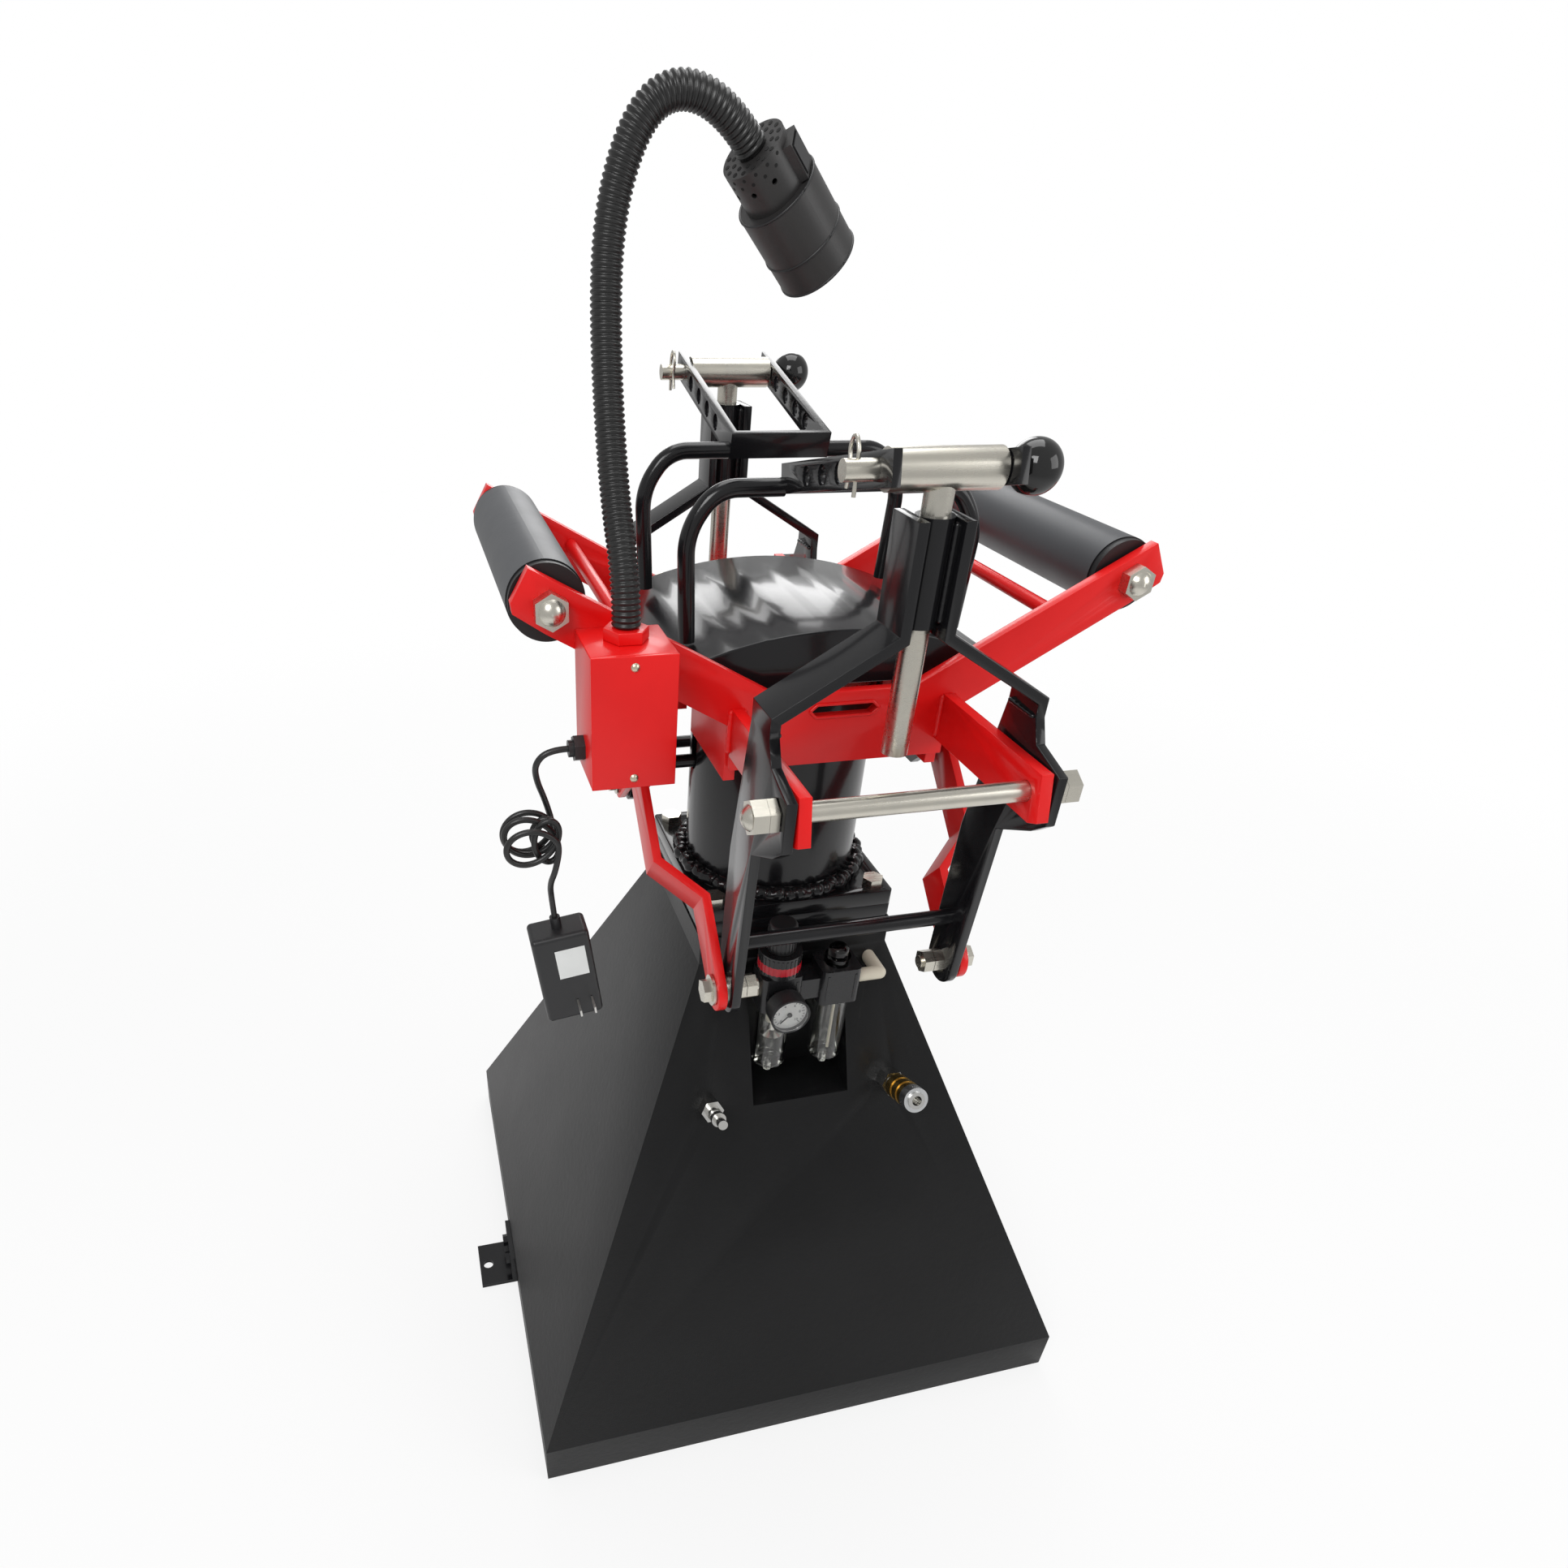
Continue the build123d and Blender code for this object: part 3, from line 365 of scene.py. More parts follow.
def spline_points(route, name, resolution=8):
    """Points along the smooth NURBS line of a route."""
    curve = bpy.data.curves.new(name, "CURVE")
    curve.dimensions = "3D"
    line = curve.splines.new("NURBS")
    line.points.add(len(route) - 1)
    for point, place in zip(line.points, route):
        point.co = (*place, 1.0)
    line.order_u = 3
    line.use_endpoint_u = True
    line.resolution_u = resolution
    holder = bpy.data.objects.new(name, curve)
    mesh = bpy.data.meshes.new_from_object(holder)
    points = [v.co.copy() for v in mesh.vertices]
    bpy.data.objects.remove(holder)
    bpy.data.curves.remove(curve)
    bpy.data.meshes.remove(mesh)
    return points


def evenly(points, step):
    """Points a step apart along a line of points."""
    spaced = [points[0]]
    left = step
    for start, end in zip(points, points[1:]):
        run = (end - start).length
        done = 0.0
        while run - done >= left:
            done += left
            spaced.append(start.lerp(end, done / run))
            left = step
        left -= run - done
    return spaced


def frames_along(points):
    """A turned frame at each point, carried along without twist."""
    frames = []
    side = None
    for index, point in enumerate(points):
        before = points[max(index - 1, 0)]
        after = points[min(index + 1, len(points) - 1)]
        along = (after - before).normalized()
        if side is None:
            side = along.orthogonal().normalized()
        side = (side - along * side.dot(along)).normalized()
        other = along.cross(side)
        turn = Matrix((side, other, along)).transposed().to_4x4()
        frames.append(Matrix.Translation(point) @ turn)
    return frames


def sweep_into(bm, points, radii, segments=16):
    """Sweeps a circle along points, with a radius at each."""
    frames = frames_along(points)
    made = bmesh.ops.create_circle(bm, cap_ends=True, segments=segments, radius=radii[0], matrix=frames[0])
    ring = list({e for v in made["verts"] for e in v.link_edges})
    for index in range(1, len(points)):
        grown = bmesh.ops.extrude_edge_only(bm, edges=ring)["geom"]
        verts = [g for g in grown if isinstance(g, bmesh.types.BMVert)]
        ring = [g for g in grown if isinstance(g, bmesh.types.BMEdge)]
        scale = Matrix.Scale(radii[index] / radii[index - 1], 4)
        change = frames[index] @ scale @ frames[index - 1].inverted()
        bmesh.ops.transform(bm, matrix=change, verts=verts)
    bmesh.ops.edgeloop_fill(bm, edges=ring)


def lathe(outline, centre, axis, steps):
    """Turns an outline of radius and height about an axis through a centre."""
    bm = bmesh.new()
    side = axis.orthogonal().normalized()
    verts = [bm.verts.new(centre + side * radius + axis * height) for radius, height in outline]
    edges = [bm.edges.new(pair) for pair in zip(verts, verts[1:])]
    bmesh.ops.spin(bm, geom=verts + edges, cent=centre, axis=axis, angle=math.tau, steps=steps,
                   use_merge=True)
    bmesh.ops.remove_doubles(bm, verts=bm.verts, dist=0.000001)
    return bm


def ribs_round(name, centre, radius, low, high, count, width, body, finish):
    """Upright grip ribs round a knob or ring."""
    bm = bmesh.new()
    for step in range(count):
        turn = Matrix.Rotation(math.tau * step / count, 4, "Z")
        size = Matrix.Diagonal((0.0012, width, high - low, 1))
        place = Matrix.Translation(centre) @ turn @ Matrix.Translation((radius, 0, (low + high) / 2)) @ size
        bmesh.ops.create_cube(bm, size=1.0, matrix=place)
    return add_mesh(name, bm, body, finish, smooth=False)


def soften(node, body, finish, width=None, angle=35.0):
    """A copy of a CAD node with its sharp edges softened, shown in its place."""
    bm = bmesh.new()
    bm.from_mesh(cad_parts[node].data)
    bmesh.ops.remove_doubles(bm, verts=bm.verts, dist=0.00001)
    bmesh.ops.dissolve_limit(bm, angle_limit=math.radians(1.0), verts=bm.verts, edges=bm.edges)
    mesh = bpy.data.meshes.new(node + "_finished")
    bm.to_mesh(mesh)
    bm.free()
    mesh.shade_smooth()
    mesh.materials.append(finishes[finish])
    piece = bpy.data.objects.new(node + "_finished", mesh)
    bpy.context.scene.collection.objects.link(piece)
    bevel = piece.modifiers.new("Edges", "BEVEL")
    bevel.width = width or sizes().edge
    bevel.segments = 2
    bevel.limit_method = "ANGLE"
    bevel.angle_limit = math.radians(angle)
    bevel.harden_normals = True
    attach(piece, body)
    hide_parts(node)
    return piece


# Operators ------------------------------------------------------------------------------------

class SPREADER_OT_finishes(bpy.types.Operator):
    """Makes every finish and gives it to the plain frame nodes"""
    bl_idname = "spreader.finishes"
    bl_label = "Finishes"

    def execute(self, context):
        c = colours()
        red = tuple(c.red)
        black = tuple(c.black)
        zinc = tuple(c.zinc)
        finishes["red"] = paint("red_powder_coat", red, 0.32, 0.08, shine=0.3, coat=0.12)
        finishes["red_cover"] = paint("red_cover_with_screws", red, 0.32, 0.08, shine=0.3, coat=0.12,
                                      screws=lambda f: f.along("Y") < COVER_FRONT - 0.0002)
        finishes["black"] = paint("black_gloss_paint", black, 0.20, 0.08, shine=0.3, coat=0.25)
        finishes["black_textured"] = paint("black_textured_coat", (0.0045, 0.0046, 0.005), 0.38, 0.30, 0.9,
                                           0.22, 0.04)
        finishes["zinc"] = plated("zinc_plate", zinc)
        finishes["pin"] = plated("zinc_pin_black_knob", zinc, mask=lambda f: f.along("X") > KNOB_START)
        finishes["nickel"] = plated("nickel_plate", (0.72, 0.71, 0.68), 0.16)
        finishes["brass"] = sleeve_metal("coupler_brass", tuple(c.brass))
        finishes["sleeve"] = sleeve_finish(tuple(c.sleeve))
        finishes["plastic"] = plastic("black_plastic", (0.012, 0.012, 0.013), 0.38)
        finishes["adapter"] = plastic("adapter_with_blades", (0.012, 0.012, 0.013), 0.38,
                                      blades=lambda f: f.along("Y") < ADAPTER_FRONT)
        finishes["lamp"] = plastic("lamp_housing", (0.022, 0.021, 0.021), 0.40, 0.2)
        # Near-black for the lamp's vent discs: painted shade standing in for the dark inside of the vent
        # holes
        finishes["hole"] = plastic("vent_hole_painted_shade", (0.0008, 0.0008, 0.0008), 0.8, 0.02)
        finishes["ribbed"] = plastic("gooseneck_cover", (0.010, 0.010, 0.010), 0.33, 0.08)
        finishes["rubber"] = plastic("cord_sheath", (0.012, 0.012, 0.012), 0.34, 0.1)
        finishes["casting"] = plastic("air_unit_casting", (0.009, 0.009, 0.010), 0.28, 0.3)
        finishes["ivory"] = plastic("ivory_fitting", (0.56, 0.52, 0.42), 0.4, 0.05)
        finishes["ring_red"] = ring_finish((0.46, 0.010, 0.022))
        finishes["dial"] = plastic("dial_white", (0.74, 0.74, 0.72), 0.5, 0.02)
        finishes["mark"] = plastic("dial_black", (0.01, 0.01, 0.01), 0.6, 0.02)
        finishes["label"] = plastic("blank_label", (0.62, 0.63, 0.62), 0.45, 0.02)
        finishes["bowl"] = clear("clear_bowl", (0.96, 0.96, 0.93), 0.01, 1.0)
        finishes["glass"] = clear("gauge_glass", (0.97, 0.97, 0.97), 0.01, 1.0)
        finishes["lens"] = clear("lamp_lens", (0.92, 0.93, 0.92), 0.12, 0.75)
        plain = {
            "zinc": ["flange_bolts", "frame_axles", "front_lever_bolts", "rear_lever_bolts", "front_post",
                     "rear_post", "cylinder_cap"],
            "pin": ["front_hook_pin", "rear_hook_pin"],
            "nickel": ["inlet_nipple", "piston_rod", "quick_coupler"],
            "brass": ["coupler_sleeve"],
            "sleeve": ["roller_left", "roller_right"],
            "plastic": ["cable_gland", "regulator_knob", "lamp_rocker", "pressure_gauge"],
            "lamp": ["lamp_cap", "lamp_body"],
            "adapter": ["adapter"],
            "casting": ["air_units", "piston"],
            "ivory": ["elbow_fittings"],
            "ring_red": ["bonnet_ring"],
            "mark": ["gauge_needle"],
            "bowl": ["air_bowls"],
            "lens": ["lamp_lens"],
            "rubber": ["air_hoses"],
            "black": ["anchor_lugs", "base_top_plate", "cylinder_tube", "saddle", "front_hook_rods",
                      "rear_hook_rods", "cylinder_flange", "cross_shaft", "link_yokes", "front_lever_sleeve",
                      "rear_lever_sleeve", "front_hook_bracket", "rear_hook_bracket", "front_lever_left",
                      "front_lever_right", "rear_lever_left", "rear_lever_right"],
            "black_textured": ["base_cabinet", "regulator_pocket"],
            "red_cover": ["box_cover"],
            "red": ["v_plate_front", "v_plate_rear", "frame_webs", "junction_box", "front_links",
                    "rear_links"],
        }
        for finish, nodes in plain.items():
            for node in nodes:
                finish_node(node, finish)
        return {"FINISHED"}


class SPREADER_OT_cord(bpy.types.Operator):
    """The adapter's cord: down from the gland, through its hank and on to the adapter"""
    bl_idname = "spreader.cord"
    bl_label = "Cord"

    def execute(self, context):
        s = sizes()
        steps = s.hank_turns * POINTS_PER_TURN
        centre = Vector(HANK_CENTRE)
        depth = s.cord_diameter * TURN_SPACING
        coil = []
        for step in range(steps + 1):
            angle = -step * math.tau / POINTS_PER_TURN
            sway = HANK_SWAY * math.sin(angle / 2)
            rise = HANK_RISE * math.sin(angle * 0.7)
            back = depth * (s.hank_turns / 2 - step / POINTS_PER_TURN)
            coil.append((centre.x + sway + HANK_HALF_WIDE * math.cos(angle), centre.y + back,
                         centre.z + rise + HANK_HALF_HIGH * math.sin(angle)))
        route = UPPER_CORD + coil + LOWER_CORD
        curve = bpy.data.curves.new("adapter_cord", "CURVE")
        curve.dimensions = "3D"
        curve.bevel_depth = s.cord_diameter / 2
        curve.bevel_resolution = 5
        curve.use_fill_caps = True
        line = curve.splines.new("NURBS")
        line.points.add(len(route) - 1)
        for point, place in zip(line.points, route):
            point.co = (*place, 1.0)
        line.order_u = 3
        line.use_endpoint_u = True
        line.resolution_u = 8
        curve.materials.append(finishes["rubber"])
        piece = bpy.data.objects.new("adapter_cord", curve)
        context.scene.collection.objects.link(piece)
        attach(piece, "frame")
        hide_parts("cord_upper", "cord_hank", "cord_lower")
        points = spline_points(route, "cord_length")
        return {"FINISHED"}


class SPREADER_OT_gooseneck(bpy.types.Operator):
    """The gooseneck's ribbed cover, from the box to the lamp"""
    bl_idname = "spreader.gooseneck"
    bl_label = "Gooseneck"

    def execute(self, context):
        s = sizes()
        points = evenly(spline_points(NECK_ROUTE, "neck_line", 24), s.rib_pitch / 5)
        profile = [0.86, 0.93, 1.0, 1.0, 0.93]
        radii = [s.neck_radius * profile[i % 5] for i in range(len(points))]
        bm = bmesh.new()
        sweep_into(bm, points, radii, 28)
        piece = add_mesh("gooseneck_ribs", bm, "lamp", "ribbed")
        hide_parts("gooseneck")
        return {"FINISHED"}


class SPREADER_OT_edges(bpy.types.Operator):
    """Softened copies of the plates, cabinet and box"""
    bl_idname = "spreader.edges"
    bl_label = "Soft edges"

    def execute(self, context):
        soften("base_cabinet", "frame", "black_textured", 0.004, 12.0)
        for node in ("v_plate_front", "v_plate_rear", "frame_webs", "junction_box"):
            soften(node, "frame", "red")
        soften("box_cover", "frame", "red_cover")
        for node in ("base_top_plate", "cylinder_flange"):
            soften(node, "frame", "black")
        for side in ("front", "rear"):
            soften(side + "_lever_left", side + "_lever", "black")
            soften(side + "_lever_right", side + "_lever", "black")
            soften(side + "_hook_bracket", side + "_hooks", "black")
            soften(side + "_links", side + "_links", "red")
        soften("saddle", "lift", "black", 0.0015)
        return {"FINISHED"}


def weld_line(bm, start, end, radius):
    """A rippled bead along a straight joint."""
    start = Vector(start)
    end = Vector(end)
    count = max(6, int((end - start).length / 0.0018))
    points = [start.lerp(end, i / count) for i in range(count + 1)]
    radii = [radius * (0.82 + 0.18 * abs(math.sin(i * 0.9))) for i in range(count + 1)]
    radii[0] = radii[-1] = radius * 0.4
    sweep_into(bm, points, radii, 10)


class SPREADER_OT_welds(bpy.types.Operator):
    """Weld beads round the cylinder, along the ears and beside the post sleeves"""
    bl_idname = "spreader.welds"
    bl_label = "Welds"

    def execute(self, context):
        s = sizes()
        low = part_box("cylinder_tube")[0]
        ring = 0.0925
        count = 420
        points = []
        radii = []
        for i in range(count + 1):
            turn = math.tau * i / count
            wobble = 0.0012 * math.sin(turn * 23) + 0.0008 * math.sin(turn * 41 + 1)
            points.append(Vector(((ring + wobble) * math.cos(turn), (ring + wobble) * math.sin(turn),
                                  low.z + 0.0045 + 0.0008 * math.sin(turn * 31))))
            radii.append(0.0062 + 0.0016 * abs(math.sin(turn * 29)))
        bm = bmesh.new()
        sweep_into(bm, points, radii, 10)
        add_mesh("cylinder_weld_bead", bm, "frame", "black")
        bm = bmesh.new()
        for side in (-1, 1):
            for back in (-1, 1):
                for x in (0.0885, 0.0995):
                    y = back * 0.1405
                    weld_line(bm, (side * x, y, 0.7785), (side * x, y, 0.8165), s.weld)
                weld_line(bm, (side * 0.176, back * 0.1295, 0.878), (side * 0.188, back * 0.1295, 0.878),
                          s.weld * 1.6)
        add_mesh("frame_weld_beads", bm, "frame", "red")
        for back, body in ((-1, "front"), (1, "rear")):
            bm = bmesh.new()
            for side in (-1, 1):
                for dy in (-0.0085, 0.0085):
                    weld_line(bm, (side * 0.0128, back * 0.235 + dy, 0.915),
                              (side * 0.0128, back * 0.235 + dy, 0.982), s.weld)
                weld_line(bm, (side * 0.1005, back * 0.217, 0.8432), (side * 0.1005, back * 0.253, 0.8432),
                          s.weld * 0.8)
            add_mesh(body + "_lever_weld_beads", bm, body + "_lever", "black")
        return {"FINISHED"}


class SPREADER_OT_gauge(bpy.types.Operator):
    """The pressure gauge's dial with its plain marks and numbers"""
    bl_idname = "spreader.gauge"
    bl_label = "Gauge"

    def execute(self, context):
        centre = Vector(GAUGE_CENTRE)
        case = [(0.0, 0.026), (0.007, 0.026), (0.007, 0.0215), (0.0175, 0.0215), (0.0195, 0.0195),
                (0.0195, 0.0030), (0.0200, 0.0022), (0.0200, 0.0003), (0.0192, -0.0002),
                (0.0182, 0.0010), (0.0180, 0.0059), (0.0, 0.0059)]
        glass = [(0.0, 0.0007), (0.0179, 0.0007), (0.0179, 0.0018), (0.0, 0.0018)]
        for name, outline, finish in (("gauge_case", case, "plastic"), ("gauge_glass", glass, "glass")):
            bm = lathe(outline, centre, Vector((0, 1, 0)), 56)
            piece = add_mesh(name, bm, "frame", finish, smooth=False)
            if name == "gauge_case":
                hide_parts("pressure_gauge")
        face = DIAL_FACE
        toward = Matrix.Translation((centre.x, face, centre.z)) @ Matrix.Rotation(math.pi / 2, 4, "X")
        bm = bmesh.new()
        bmesh.ops.create_circle(bm, cap_ends=True, segments=48, radius=0.0178, matrix=toward)
        grown = bmesh.ops.extrude_face_region(bm, geom=list(bm.faces))["geom"]
        verts = [g for g in grown if isinstance(g, bmesh.types.BMVert)]
        bmesh.ops.translate(bm, vec=(0, 0.0002, 0), verts=verts)
        add_mesh("gauge_dial", bm, "frame", "dial", smooth=False)
        bm = bmesh.new()
        ticks = sizes().ticks
        for i in range(ticks):
            angle = math.radians(DIAL_START - DIAL_SWEEP * i / (ticks - 1))
            long = 0.0030 if i % 4 == 0 else 0.0017
            turn = Matrix.Translation((centre.x, face - 0.0001, centre.z)) @ Matrix.Rotation(-angle, 4, "Y")
            box = Matrix.Translation((0.0160 - long / 2, 0, 0)) @ Matrix.Diagonal((long, 0.0002, 0.0005, 1))
            bmesh.ops.create_cube(bm, size=1.0, matrix=turn @ box)
        add_mesh("gauge_ticks", bm, "frame", "mark", smooth=False)
        for i in range(6):
            angle = math.radians(DIAL_START - DIAL_SWEEP * i / 5)
            text = bpy.data.curves.new("gauge_number", "FONT")
            text.body = str(i * 2)
            text.size = 0.0042
            text.extrude = 0.00005
            text.align_x = "CENTER"
            text.align_y = "CENTER"
            holder = bpy.data.objects.new("gauge_number_holder", text)
            mesh = bpy.data.meshes.new_from_object(holder)
            place = Matrix.Translation((centre.x + 0.0108 * math.cos(angle), face - 0.0001,
                                        centre.z + 0.0108 * math.sin(angle)))
            mesh.transform(place @ Matrix.Rotation(math.pi / 2, 4, "X"))
            mesh.materials.clear()
            mesh.materials.append(finishes["mark"])
            number = bpy.data.objects.new("gauge_number_" + str(i), mesh)
            context.scene.collection.objects.link(number)
            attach(number, "frame")
            bpy.data.objects.remove(holder)
            bpy.data.curves.remove(text)
        return {"FINISHED"}


def lamp_frame():
    """Frame at the lamp's back, with Z along the lamp and X towards the switch's side."""
    start = Vector(NECK_ROUTE[-1])
    along = (start - Vector(NECK_ROUTE[-2])).normalized()
    side = Vector((along.y, -along.x, 0)).normalized()
    other = along.cross(side)
    return Matrix.Translation(start) @ Matrix((side, other, along)).transposed().to_4x4()


class SPREADER_OT_lamp(bpy.types.Operator):
    """The lamp's vent holes, seams and front rim"""
    bl_idname = "spreader.lamp"
    bl_label = "Lamp"

    def execute(self, context):
        base = lamp_frame()
        # The vent holes are not cut: flat near-black discs on the housing carry painted shade where the
        # holes' insides would be dark
        bm = bmesh.new()
        for row, height in enumerate((0.0030, 0.0075)):
            for step in range(16):
                angle = math.tau * (step + row * 0.5) / 16
                if math.cos(angle - SWITCH_TURN) > 0.86:
                    continue
                place = base @ Matrix.Rotation(angle, 4, "Z") @ Matrix.Translation((0.02255, 0, height))
                bmesh.ops.create_circle(bm, cap_ends=True, segments=10, radius=0.0012,
                                        matrix=place @ Matrix.Rotation(math.pi / 2, 4, "Y"))
        for row, radius in enumerate((0.0145, 0.0192)):
            for step in range(12 + 4 * row):
                angle = math.tau * step / (12 + 4 * row)
                place = base @ Matrix.Rotation(angle, 4, "Z") @ Matrix.Translation((radius, 0, -0.00005))
                bmesh.ops.create_circle(bm, cap_ends=True, segments=12, radius=0.0016, matrix=place)
        faces = list(bm.faces)
        bmesh.ops.solidify(bm, geom=faces, thickness=0.0002)
        add_mesh("lamp_vents", bm, "lamp", "hole", smooth=False)
        bm = bmesh.new()
        for height, radius in ((0.0302, 0.0282), (0.066, 0.0284), (0.0875, 0.0283)):
            turns = [t * math.tau / 64 for t in range(65)]
            points = [base @ Vector((radius * math.cos(t), radius * math.sin(t), height)) for t in turns]
            sweep_into(bm, points, [0.0009] * 65, 8)
        add_mesh("lamp_rims", bm, "lamp", "plastic")
        return {"FINISHED"}


class SPREADER_OT_air_units(bpy.types.Operator):
    """Grip ribs, filter element and pick-up tube in the air units"""
    bl_idname = "spreader.air_units"
    bl_label = "Air units"

    def execute(self, context):
        ribs_round("regulator_knob_ribs", (FILTER_X, AIR_Y, 0), 0.0140, 0.566, 0.589, 24, 0.0016,
                   "regulator_knob", "plastic")
        ribs_round("bonnet_ring_ribs", (FILTER_X, AIR_Y, 0), 0.0209, 0.5405, 0.5605, 28, 0.0020,
                   "frame", "ring_red")
        element = [(0.0, 0.478), (0.0055, 0.478), (0.0075, 0.474), (0.0075, 0.4965), (0.0, 0.4965)]
        baffle = [(0.0, 0.455), (0.010, 0.455), (0.0112, 0.457), (0.004, 0.462), (0.004, 0.479), (0.0, 0.479)]
        tube = [(0.0, 0.424), (0.0016, 0.424), (0.0016, 0.4965), (0.0, 0.4965)]
        for name, outline, x, finish in (("filter_element", element, FILTER_X, "ivory"),
                                         ("filter_baffle", baffle, FILTER_X, "nickel"),
                                         ("oil_tube", tube, LUBRICATOR_X + 0.004, "ivory")):
            bm = lathe(outline, Vector((x, AIR_Y, 0)), Vector((0, 0, 1)), 28)
            add_mesh(name, bm, "frame", finish, smooth=False)
        bm = bmesh.new()
        for x in (FILTER_X, LUBRICATOR_X):
            for side in (-0.0145, 0.0145):
                place = Matrix.Translation((x + side, AIR_Y - 0.0181, 0.5175))
                size = Matrix.Diagonal((0.0024, 0.0008, 0.030, 1))
                bmesh.ops.create_cube(bm, size=1.0, matrix=place @ size)
        add_mesh("air_body_ridges", bm, "frame", "casting", smooth=False)
        return {"FINISHED"}


class SPREADER_OT_trim(bpy.types.Operator):
    """Slot rims and adapter label"""
    bl_idname = "spreader.trim"
    bl_label = "Trim"

    def execute(self, context):
        for back, name in ((-1, "front"), (1, "rear")):
            y = back * 0.1402
            corners = [(-0.031, 0.8095), (-0.025, 0.815), (0.025, 0.815), (0.031, 0.8095), (0.025, 0.804),
                       (-0.025, 0.804), (-0.031, 0.8095), (-0.025, 0.815)]
            bm = bmesh.new()
            points = evenly([Vector((x, y, z)) for x, z in corners], 0.0015)
            sweep_into(bm, points, [0.0014] * len(points), 8)
            add_mesh(name + "_slot_rim", bm, "frame", "red")
        place = Matrix.Translation(LOWER_CORD[-1]) @ Matrix.Rotation(math.radians(-8.0), 4, "Y")
        bm = bmesh.new()
        label = Matrix.Translation((0.006, -0.0161, -0.040)) @ Matrix.Diagonal((0.026, 0.0003, 0.030, 1))
        bmesh.ops.create_cube(bm, size=1.0, matrix=place @ label)
        add_mesh("adapter_blank_label", bm, "frame", "label", smooth=False)
        return {"FINISHED"}


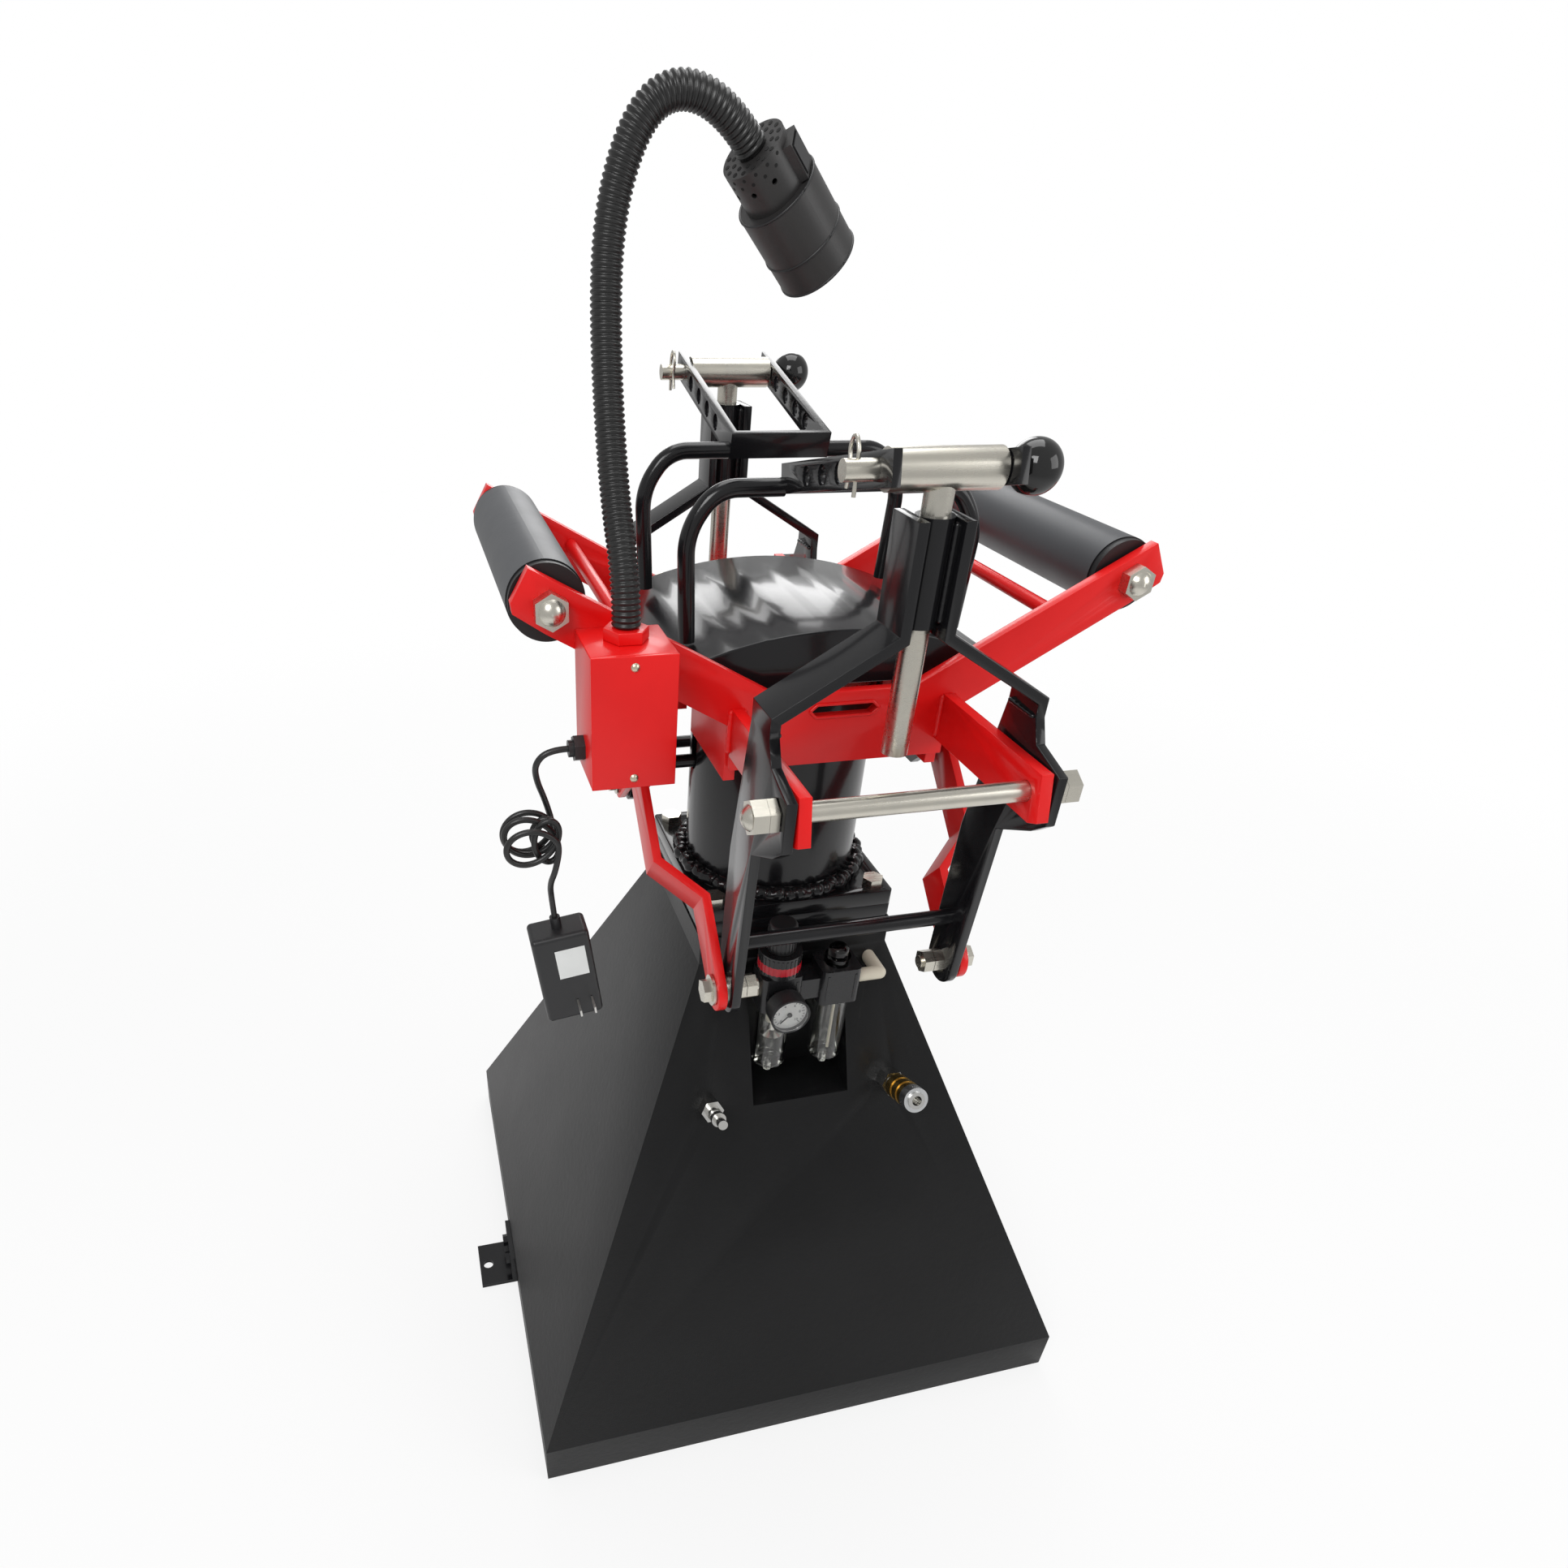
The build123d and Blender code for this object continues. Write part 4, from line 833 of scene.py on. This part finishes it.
class SPREADER_OT_stage(bpy.types.Operator):
    """Pale floor, soft lights and the camera"""
    bl_idname = "spreader.stage"
    bl_label = "Stage"

    def execute(self, context):
        scene = context.scene
        scene.view_settings.view_transform = "Standard"
        bm = bmesh.new()
        bmesh.ops.create_circle(bm, cap_ends=True, segments=96, radius=4.0)
        mesh = bpy.data.meshes.new("studio_floor")
        bm.to_mesh(mesh)
        bm.free()
        f = Finish("studio_floor")
        path = f.node("ShaderNodeLightPath", out="Is Camera Ray")
        f.set(colour=tuple(colours().floor), rough=0.9)
        glow = f.node("ShaderNodeEmission", values={"Color": (1.0, 1.0, 1.0), "Strength": 1.0})
        mixed = f.node("ShaderNodeMixShader", values={0: path * 0.80, 1: Socket(f, f.shader.outputs[0]),
                                                      2: glow})
        far = f.node("ShaderNodeVectorMath", {"operation": "LENGTH"}, {0: f.place()}, out="Value")
        fade = f.node("ShaderNodeMapRange", {"interpolation_type": "SMOOTHSTEP"}, {
            "Value": far, "From Min": 0.9, "From Max": 2.6, "To Min": 0.0, "To Max": 1.0})
        bare = f.node("ShaderNodeBsdfTransparent")
        faded = f.node("ShaderNodeMixShader", values={0: fade, 1: mixed, 2: bare})
        out = f.nodes["Material Output"]
        f.links.new(faded.output, out.inputs["Surface"])
        mesh.materials.append(f.material)
        floor = bpy.data.objects.new("studio_floor", mesh)
        scene.collection.objects.link(floor)
        world = bpy.data.worlds.new("studio_world")
        world.use_nodes = True
        tree = world.node_tree
        ground = tree.nodes["Background"]
        ground.inputs["Color"].default_value = (1.0, 1.0, 1.0, 1.0)
        ground.inputs["Strength"].default_value = 0.55
        white = tree.nodes.new("ShaderNodeBackground")
        white.inputs["Color"].default_value = (1.0, 1.0, 1.0, 1.0)
        rays = tree.nodes.new("ShaderNodeLightPath")
        choose = tree.nodes.new("ShaderNodeMixShader")
        tree.links.new(rays.outputs["Is Camera Ray"], choose.inputs[0])
        tree.links.new(ground.outputs[0], choose.inputs[1])
        tree.links.new(white.outputs[0], choose.inputs[2])
        tree.links.new(choose.outputs[0], tree.nodes["World Output"].inputs[0])
        scene.world = world
        lamps = (
            ("key", (-1.4, -1.8, 2.6), 1.2, 34.0),
            ("fill", (1.9, -1.5, 1.7), 1.5, 16.0),
            ("top", (0.2, 0.6, 3.0), 1.6, 24.0),
            ("back", (0.6, 2.2, 1.8), 1.2, 14.0),
        )
        for name, place, size, power in lamps:
            light = bpy.data.lights.new(name, "AREA")
            light.size = size
            light.energy = power
            lamp = bpy.data.objects.new(name, light)
            lamp.location = place
            aim = Vector((0, 0, 0.7)) - Vector(place)
            lamp.rotation_euler = aim.to_track_quat("-Z", "Y").to_euler()
            scene.collection.objects.link(lamp)
        yaw, pitch, roll = CAMERA_TURN
        ahead = Vector((math.sin(yaw) * math.cos(pitch), math.cos(yaw) * math.cos(pitch), -math.sin(pitch)))
        right = Vector((math.cos(yaw), -math.sin(yaw), 0))
        up = right.cross(ahead)
        level = right * math.cos(roll) + up * math.sin(roll)
        upright = up * math.cos(roll) - right * math.sin(roll)
        data = bpy.data.cameras.new("view")
        data.sensor_width = SENSOR
        data.lens = LENS
        data.shift_x, data.shift_y = SHIFT
        camera = bpy.data.objects.new("view", data)
        turn = Matrix((level, upright, -ahead)).transposed().to_4x4()
        camera.matrix_world = Matrix.Translation(CAMERA_PLACE) @ turn
        scene.collection.objects.link(camera)
        scene.camera = camera
        return {"FINISHED"}


class SPREADER_PT_panel(bpy.types.Panel):
    """Lists the spreader's operators and values"""
    bl_idname = "SPREADER_PT_panel"
    bl_label = "Tyre spreader"
    bl_space_type = "VIEW_3D"
    bl_region_type = "UI"
    bl_category = "Tyre spreader"

    def draw(self, context):
        for operator in operators:
            self.layout.operator(operator.bl_idname)
        for group in (context.scene.spreader_sizes, context.scene.spreader_colours):
            for name in group.bl_rna.properties.keys():
                if name not in ("rna_type", "name"):
                    self.layout.prop(group, name)


operators = [SPREADER_OT_stage, SPREADER_OT_finishes, SPREADER_OT_cord, SPREADER_OT_gooseneck,
             SPREADER_OT_edges, SPREADER_OT_welds, SPREADER_OT_gauge, SPREADER_OT_lamp, SPREADER_OT_air_units,
             SPREADER_OT_trim]
classes = [SpreaderSizes, SpreaderColours, *operators, SPREADER_PT_panel]


def register():
    for item in classes:
        bpy.utils.register_class(item)
    bpy.types.Scene.spreader_sizes = PointerProperty(type=SpreaderSizes)
    bpy.types.Scene.spreader_colours = PointerProperty(type=SpreaderColours)


def unregister():
    del bpy.types.Scene.spreader_sizes
    del bpy.types.Scene.spreader_colours
    for item in reversed(classes):
        bpy.utils.unregister_class(item)


def main():
    register()
    for operator in operators:
        group, name = operator.bl_idname.split(".")
        getattr(getattr(bpy.ops, group), name)()


if __name__ == "__main__":
    main()
